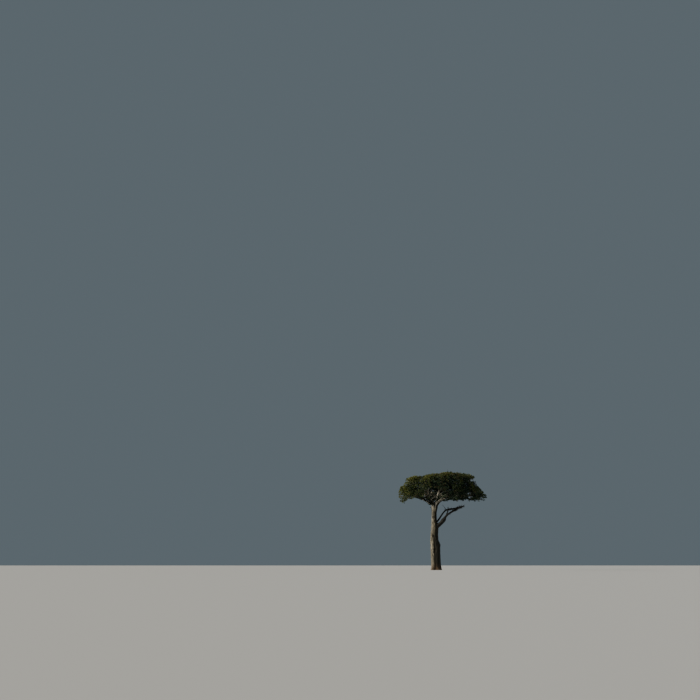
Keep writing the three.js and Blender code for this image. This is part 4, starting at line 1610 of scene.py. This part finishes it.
def bare_branchlets(limb, seed):
    """Pale bare branchlets on a bough, under the leaves, and finer ones on those."""
    rng = np.random.default_rng(seed)
    count = int(limb.length * BRANCHLETS_PER_METRE)
    share = rng.uniform(*BRANCHLET_STRETCH, count)
    angles = rng.uniform(*BRANCHLET_ANGLES, count)
    ways = leaning(limb.directions(share), angles, rng.uniform(0, 2 * math.pi, count))
    ways = unit(ways + UP * rng.uniform(*BRANCHLET_RISES, count)[:, None])
    lengths = rng.uniform(*BRANCHLET_SPAN, count)
    radii = np.minimum(BRANCHLET_RADIUS, BRANCHLET_GIRTH * limb.girth(share))
    radii = radii * rng.uniform(*BRANCHLET_SCATTER, count)
    grown = Twigs.grown("branchlet", None, limb.places(share), ways, lengths, radii, rng)
    which, share, number = grown.sites(*FINE_BRANCHLET_SITES, rng)
    starts, ways = grown.at(which, share)
    turn = number % 2 * math.pi + rng.normal(0, SIDE_TURN_SCATTER, len(which))
    ways = leaning(ways, FINE_BRANCHLET_ANGLE, turn)
    lengths = rng.uniform(*FINE_BRANCHLET_SPAN, len(which))
    fine = Twigs.grown("fine_branchlet", None, starts, ways, lengths, FINE_BRANCHLET_RADIUS, rng)
    return [grown.tubes(BRANCH_SIDES), fine.tubes(TWIG_SIDES)]


def bare_top_twig():
    """The bare twig over the crown and the short ones on its upper half."""
    rng = np.random.default_rng(TOP_TWIG_SEED)
    foot, way, length, radius = (np.array([part]) for part in TOP_TWIG)
    grown = Twigs.grown("top_twig", None, foot, way, length, radius, rng)
    which, share, number = grown.sites(*FINE_TOP_TWIG_SITES, rng)
    starts, ways = grown.at(which, share)
    ways = leaning(ways, FINE_TOP_TWIG_ANGLE, number % 2 * math.pi)
    lengths = FINE_TOP_TWIG_LENGTH - FINE_TOP_TWIG_SHORTENING * share
    fine = Twigs.grown("fine_top_twig", None, starts, ways, lengths, FINE_TOP_TWIG_RADIUS, rng)
    return [grown.tubes(BRANCH_SIDES), fine.tubes(TWIG_SIDES)]


def ragged_twigs(limb, seed):
    """Crooked broken branchlets on the outer part of a dead limb, and finer ones on those."""
    rng = np.random.default_rng(seed)
    count = int(limb.length * DEAD_TWIGS_PER_METRE) + SPLINTERS
    share = DEAD_TWIG_OUTER - DEAD_TWIG_STRETCH * rng.random(count) ** DEAD_TWIG_CROWDING
    lean = rng.uniform(*DEAD_TWIG_ANGLES, count)
    share[:SPLINTERS] = SPLINTER_SHARE
    lean[:SPLINTERS] *= SPLINTER_LEAN
    starts = limb.places(share)
    ways = leaning(limb.directions(share), lean, rng.uniform(0, 2 * math.pi, count))
    ways = unit(ways * DEAD_TWIG_SPREAD + UP * rng.uniform(*DEAD_TWIG_RISES, count)[:, None])
    lengths = rng.uniform(*DEAD_TWIG_SPAN, count)
    lengths = np.minimum(lengths, (DEAD_REACH - starts[:, 0]) / np.maximum(ways[:, 0], LEAST_RUN))
    radii = np.minimum(rng.uniform(*DEAD_TWIG_RADII, count), DEAD_TWIG_GIRTH * limb.girth(share))
    grown = Twigs.grown("dead_twig", None, starts, ways, lengths, radii, rng)
    which, share, number = grown.sites(*FINE_DEAD_TWIG_SITES, rng)
    starts, ways = grown.at(which, share)
    angles = rng.uniform(*FINE_DEAD_TWIG_ANGLES, len(which))
    turn = number * math.pi + rng.normal(0, FINE_DEAD_TWIG_TURN_SCATTER, len(which))
    ways = leaning(ways, angles, turn)
    lengths = rng.uniform(*FINE_DEAD_TWIG_SPAN, len(which))
    fine = Twigs.grown("fine_dead_twig", None, starts, ways, lengths, FINE_DEAD_TWIG_RADIUS, rng)
    return [grown.tubes(DEAD_TWIG_SIDES), fine.tubes(FINE_DEAD_TWIG_SIDES)]


# Settings that a user would change


class AcaciaBark(bpy.types.PropertyGroup):
    furrow_depth: FloatProperty(
        name="Furrow depth",
        description="Depth of the trunk's furrows",
        default=0.022,
        min=0,
        unit="LENGTH",
    )
    plate_width: FloatProperty(
        name="Plate width",
        description="Width of the trunk's bark plates",
        default=0.075,
        min=0.01,
        unit="LENGTH",
    )
    pale: FloatVectorProperty(
        name="Worn bark",
        description="Colour of worn ridges",
        subtype="COLOR",
        default=(0.46, 0.42, 0.32),
    )
    middle: FloatVectorProperty(
        name="Bark", description="Colour of the bark", subtype="COLOR", default=(0.22, 0.195, 0.14)
    )
    dark: FloatVectorProperty(
        name="Furrows",
        description="Colour in the furrows",
        subtype="COLOR",
        default=(0.022, 0.02, 0.014),
    )
    # Painted shade: the bark's colour on the side away from the sun
    shaded: FloatVectorProperty(
        name="Shaded bark",
        description="Bark on the side away from the sun",
        subtype="COLOR",
        default=(0.015, 0.016, 0.011),
    )
    foot: FloatVectorProperty(
        name="Foot",
        description="Colour of the trunk's foot",
        subtype="COLOR",
        default=(0.12, 0.07, 0.038),
    )
    # The boughs' colours: pale bark, made paler still as painted light, so that boughs in the
    # crown's shade show as sunlit
    bough_pale: FloatVectorProperty(
        name="Worn bough",
        description="Colour of worn boughs",
        subtype="COLOR",
        default=(0.82, 0.79, 0.68),
    )
    bough_middle: FloatVectorProperty(
        name="Boughs",
        description="Colour of the boughs",
        subtype="COLOR",
        default=(0.54, 0.51, 0.42),
    )
    # Near black, partly as painted shade: dead wood darkened to the look of limbs against the light
    dead: FloatVectorProperty(
        name="Dead wood",
        description="Colour of the dead limbs",
        subtype="COLOR",
        default=(0.025, 0.025, 0.021),
    )


class AcaciaCrown(bpy.types.PropertyGroup):
    spokes: IntProperty(name="Spokes", description="Branches round each stem", default=17, min=2)
    head_branches: IntProperty(
        name="Head branches", description="Flat branches at the head of each stem", default=7, min=2
    )
    twig_spacing: FloatProperty(
        name="Twig spacing",
        description="Distance between twigs on a branch",
        default=0.125,
        min=0.02,
        unit="LENGTH",
    )
    shoot_spacing: FloatProperty(
        name="Shoot spacing",
        description="Distance between shoots on a twig",
        default=0.07,
        min=0.02,
        unit="LENGTH",
    )
    leaves_per_shoot: IntProperty(
        name="Leaves", description="Pairs of leaflets on each shoot", default=16, min=2
    )
    leaf_length: FloatProperty(
        name="Leaf length",
        description="Length of a leaflet",
        default=0.056,
        min=0.005,
        unit="LENGTH",
    )
    leaf_width: FloatProperty(
        name="Leaf width",
        description="Width of a leaflet at its root",
        default=0.019,
        min=0.002,
        unit="LENGTH",
    )
    # Leaf colours from deep to light; a spray takes a lighter one high and outside and a darker one
    # deep inside as painted light and shade
    deep: FloatVectorProperty(
        name="Deep", description="Leaves deep inside", subtype="COLOR", default=(0.016, 0.034, 0.02)
    )
    dark_leaf: FloatVectorProperty(
        name="Dark",
        description="Leaves in the lower crown",
        subtype="COLOR",
        default=(0.03, 0.056, 0.03),
    )
    middle_leaf: FloatVectorProperty(
        name="Middle",
        description="Leaves of the middle crown",
        subtype="COLOR",
        default=(0.065, 0.095, 0.036),
    )
    olive: FloatVectorProperty(
        name="Olive",
        description="Leaves near the top",
        subtype="COLOR",
        default=(0.125, 0.15, 0.042),
    )
    # Painted light: the lit leaves on the crown's outside and top
    light: FloatVectorProperty(
        name="Light",
        description="Young leaves on the outside",
        subtype="COLOR",
        default=(0.2, 0.22, 0.058),
    )
    dry: FloatVectorProperty(
        name="Dry", description="Dry brown leaves", subtype="COLOR", default=(0.16, 0.115, 0.055)
    )
    branch: FloatVectorProperty(
        name="Branches",
        description="Colour of the branches",
        subtype="COLOR",
        default=(0.17, 0.145, 0.105),
    )
    # Pale, partly as painted light, so that the branchlets show as lit specks under the leaves
    branchlet: FloatVectorProperty(
        name="Branchlets",
        description="Colour of bare branchlets",
        subtype="COLOR",
        default=(0.36, 0.33, 0.26),
    )
    twig: FloatVectorProperty(
        name="Twigs",
        description="Colour of the twigs",
        subtype="COLOR",
        default=(0.095, 0.085, 0.055),
    )


class AcaciaStage(bpy.types.PropertyGroup):
    camera_distance: FloatProperty(
        name="Camera distance",
        description="From the tree to the camera",
        default=VIEW_DISTANCE,
        min=20,
        unit="LENGTH",
    )
    camera_height: FloatProperty(
        name="Camera height",
        description="Above the ground",
        default=VIEW_HEIGHT,
        min=0.1,
        unit="LENGTH",
    )
    floor: FloatVectorProperty(
        name="Floor",
        description="Colour of the floor",
        subtype="COLOR",
        default=(0.5, 0.485, 0.455),
    )
    # The strength of each of the LIGHTS, by its name, and of the sky
    key: FloatProperty(
        name="Key light", description="Strength of the key light", default=4.6, min=0
    )
    back: FloatProperty(
        name="Back light", description="Strength of the soft back light", default=0.7, min=0
    )
    side: FloatProperty(
        name="Side light", description="Strength of the soft side light", default=0.4, min=0
    )
    sky: FloatProperty(
        name="Fill light", description="Strength of the soft fill", default=0.155, min=0
    )


# Operators, one for each group of pieces and one for the stage


class ACACIA_OT_trunk(bpy.types.Operator):
    """Builds the trunk's bark with its flutes, folds, knots and burls"""

    bl_idname = "acacia.trunk"
    bl_label = "Trunk"

    def execute(self, context):
        bark = context.scene.acacia_bark
        work = BarkPiece("trunk_bark", TRUNK, "trunk", outline=trunk_outline)
        for number, mark in enumerate(BURLS + FOLDS + KNOTS):
            work.mark(f"mark_{number}", *mark)
        work.roughen(bark_layers(bark.plate_width, bark.furrow_depth))
        material = bark_finish("trunk_bark", bark, cell=1.0, fine=0.018)
        dress(work.lay(level=True), material, "bark", "trunk")
        return {"FINISHED"}


class ACACIA_OT_stub(bpy.types.Operator):
    """Builds the short broken stub under the fork"""

    bl_idname = "acacia.stub"
    bl_label = "Broken stub"

    def execute(self, context):
        bark = context.scene.acacia_bark
        root = trunk_axis(STUB_HEIGHT)
        stations = []
        for share, girth in STUB_TAPER:
            height = root[2] + STUB_RISE * share
            stations.append([height, root[0] - STUB_REACH * share, root[1], STUB_RADIUS * girth])
        work = BarkPiece("stub", Limb(stations), "stub")
        work.roughen(bark_layers(*STUB_PLATES))
        dress(work.lay(), dead_finish("stub_wood", bark.dead), "bark", "trunk")
        return {"FINISHED"}


class ACACIA_OT_boughs(bpy.types.Operator):
    """Builds the bark of every live bough and of the pale limbs at the fork"""

    bl_idname = "acacia.boughs"
    bl_label = "Live boughs"

    def execute(self, context):
        bark = context.scene.acacia_bark
        material = bark_finish("bough_bark", bark, cell=0.5, fine=0.008)
        layers = bark_layers(*BOUGH_PLATES)
        for number, (name, limb, _) in enumerate(BOUGHS):
            work = BarkPiece(f"{name}_bark", limb, "bough", number)
            work.roughen(layers)
            dress(work.lay(), material, "bough_bark", name)
        for number, stations in enumerate(FORK_LIMBS):
            work = BarkPiece(f"fork_limb_{number + 1}", Limb(stations), "fork", number)
            work.roughen(layers)
            dress(work.lay(), material, "bough_bark")
        return {"FINISHED"}


class ACACIA_OT_dead_limbs(bpy.types.Operator):
    """Builds the dead limbs, the ragged twigs on them and the bare twig over the crown"""

    bl_idname = "acacia.dead_limbs"
    bl_label = "Dead limbs"

    def execute(self, context):
        bark = context.scene.acacia_bark
        material = dead_finish("dead_wood", bark.dead)
        layers = bark_layers(*DEAD_PLATES)
        twigs = []
        for number, (name, stations) in enumerate(DEAD_LIMBS.items()):
            limb = Limb(stations)
            work = BarkPiece(f"{name}_wood", limb, "dead", number)
            for place, knot in enumerate(DEAD_KNOTS.get(name, ())):
                work.mark(f"knot_{place}", *knot)
            work.roughen(layers)
            dress(work.lay(), material, "dead_wood", name)
            if name != "dead_twig":
                twigs += ragged_twigs(limb, DEAD_TWIG_SEED + number)
        twigs += bare_top_twig()
        piece = mesh_piece("dead_twiglets", *joined(twigs), smooth=True)
        dress(piece, twig_finish("dead_twigs", bark.dead), "dead_wood")
        return {"FINISHED"}


class ACACIA_OT_foliage(bpy.types.Operator):
    """Grows the twigs and the leaves of every mass, and those along the boughs and the rim"""

    bl_idname = "acacia.foliage"
    bl_label = "Twigs and leaves"

    def execute(self, context):
        crown = context.scene.acacia_crown
        greens = leaf_finishes(crown)
        barks = [twig_finish("branch_bark", crown.branch), twig_finish("twig_bark", crown.twig)]
        pale_bark = twig_finish("branchlet_bark", crown.branchlet)
        for number, (_, limb, mass) in enumerate(BOUGHS):
            growth = Growth(mass, limb, crown, GROWTH_SEED + number)
            short = mass.name.removeprefix("foliage_")
            twigs = mesh_piece(f"twigs_{short}", *growth.wood(), smooth=True)
            dress(twigs, barks, "foliage", mass.name)
            leaves = mesh_piece(f"leaves_{short}", *growth.leaves())
            dress(leaves, greens, "foliage", mass.name)
        sprigs, bare = [], []
        for number, (name, limb, _) in enumerate(BOUGHS):
            bare += bare_branchlets(limb, BRANCHLET_SEED + number)
            count = SPRIGS[name.split("_")[0]] * (LEFT_SPRIGS if limb.point(0.5)[0] < 0 else 1)
            sprigs.append(BoughSprigs(limb, count, crown, SPRIG_SEED + number))
        sprigs.append(RimWisps(crown))
        branchlets = mesh_piece("branchlets", *joined(bare), smooth=True)
        dress(branchlets, pale_bark, "foliage")
        low_twigs = joined_kinds([sprig.wood() for sprig in sprigs])
        twigs = mesh_piece("twigs_low", *low_twigs, smooth=True)
        dress(twigs, barks, "foliage")
        low_leaves = joined_kinds([sprig.leaves() for sprig in sprigs])
        leaves = mesh_piece("leaves_low", *low_leaves)
        dress(leaves, greens, "foliage")
        return {"FINISHED"}


class ACACIA_OT_stage(bpy.types.Operator):
    """Sets the pale floor, the soft light and the camera"""

    bl_idname = "acacia.stage"
    bl_label = "Stage"

    def execute(self, context):
        stage = context.scene.acacia_stage
        self.add_floor(stage)
        self.add_sky(context, stage)
        for name, (towards, size, colour) in LIGHTS.items():
            self.add_sun(name, towards, getattr(stage, name), size, colour)
        self.add_camera(context, stage)
        return {"FINISHED"}

    def add_floor(self, stage):
        deselect_all()
        bpy.ops.mesh.primitive_plane_add(size=FLOOR_SIZE)
        floor = bpy.context.object
        floor.name = "floor"
        floor.data.materials.append(plain_finish("floor", stage.floor, FLOOR_ROUGHNESS))
        floor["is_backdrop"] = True

    def add_sky(self, context, stage):
        world = bpy.data.worlds.new("studio")
        world.use_nodes = True
        background = world.node_tree.nodes["Background"]
        background.inputs["Color"].default_value = rgba(SKY_COLOUR)
        background.inputs["Strength"].default_value = stage.sky
        context.scene.world = world

    def add_sun(self, name, towards, strength, size, colour):
        deselect_all()
        towards = unit(np.array(towards))
        turn = (0, math.acos(-towards[2]), math.atan2(-towards[1], -towards[0]))
        bpy.ops.object.light_add(type="SUN", location=-LIGHT_DISTANCE * towards, rotation=turn)
        light = bpy.context.object
        light.name = name
        light.data.energy = strength
        light.data.angle = math.radians(size)
        light.data.color = colour

    def add_camera(self, context, stage):
        """The tree's foot stands low and right of the picture's middle, as in the photograph."""
        deselect_all()
        distance, height = stage.camera_distance, stage.camera_height
        yaw = math.atan(FOOT_RIGHT)
        pitch = math.atan(FOOT_DOWN) - math.atan(height / distance)
        place = (0, -distance, height)
        bpy.ops.object.camera_add(location=place, rotation=(math.pi / 2 + pitch, 0, yaw))
        camera = bpy.context.object
        camera.name = "camera"
        camera.data.sensor_width = SENSOR_WIDTH
        camera.data.lens = SENSOR_WIDTH / 2 / math.tan(HALF_VIEW)
        camera.data.clip_end = CLIP_END
        context.scene.camera = camera


# The panel, and what registers it all


class ACACIA_PT_panel(bpy.types.Panel):
    bl_label = "Acacia tree"
    bl_idname = "ACACIA_PT_panel"
    bl_space_type = "VIEW_3D"
    bl_region_type = "UI"
    bl_category = "Acacia"

    def draw(self, context):
        layout = self.layout
        for name, owner in SETTINGS.items():
            settings = getattr(context.scene, name)
            box = layout.box()
            for field in owner.__annotations__:
                box.prop(settings, field)
        for operator in OPERATORS:
            layout.operator(operator.bl_idname)


SETTINGS = {"acacia_bark": AcaciaBark, "acacia_crown": AcaciaCrown, "acacia_stage": AcaciaStage}
OPERATORS = (
    ACACIA_OT_stage,
    ACACIA_OT_trunk,
    ACACIA_OT_stub,
    ACACIA_OT_boughs,
    ACACIA_OT_dead_limbs,
    ACACIA_OT_foliage,
)


def register():
    for owner in (*SETTINGS.values(), *OPERATORS, ACACIA_PT_panel):
        bpy.utils.register_class(owner)
    for name, owner in SETTINGS.items():
        setattr(bpy.types.Scene, name, PointerProperty(type=owner))


def unregister():
    for name in SETTINGS:
        delattr(bpy.types.Scene, name)
    for owner in reversed((*SETTINGS.values(), *OPERATORS, ACACIA_PT_panel)):
        bpy.utils.unregister_class(owner)


def main():
    register()
    bpy.ops.acacia.stage()
    bpy.ops.acacia.trunk()
    bpy.ops.acacia.stub()
    bpy.ops.acacia.boughs()
    bpy.ops.acacia.dead_limbs()
    bpy.ops.acacia.foliage()
    boxes = {"solids": solids_box, "scene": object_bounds()}
    {name: [list(corner) for corner in box] for name, box in boxes.items()}


if __name__ == "__main__":
    main()
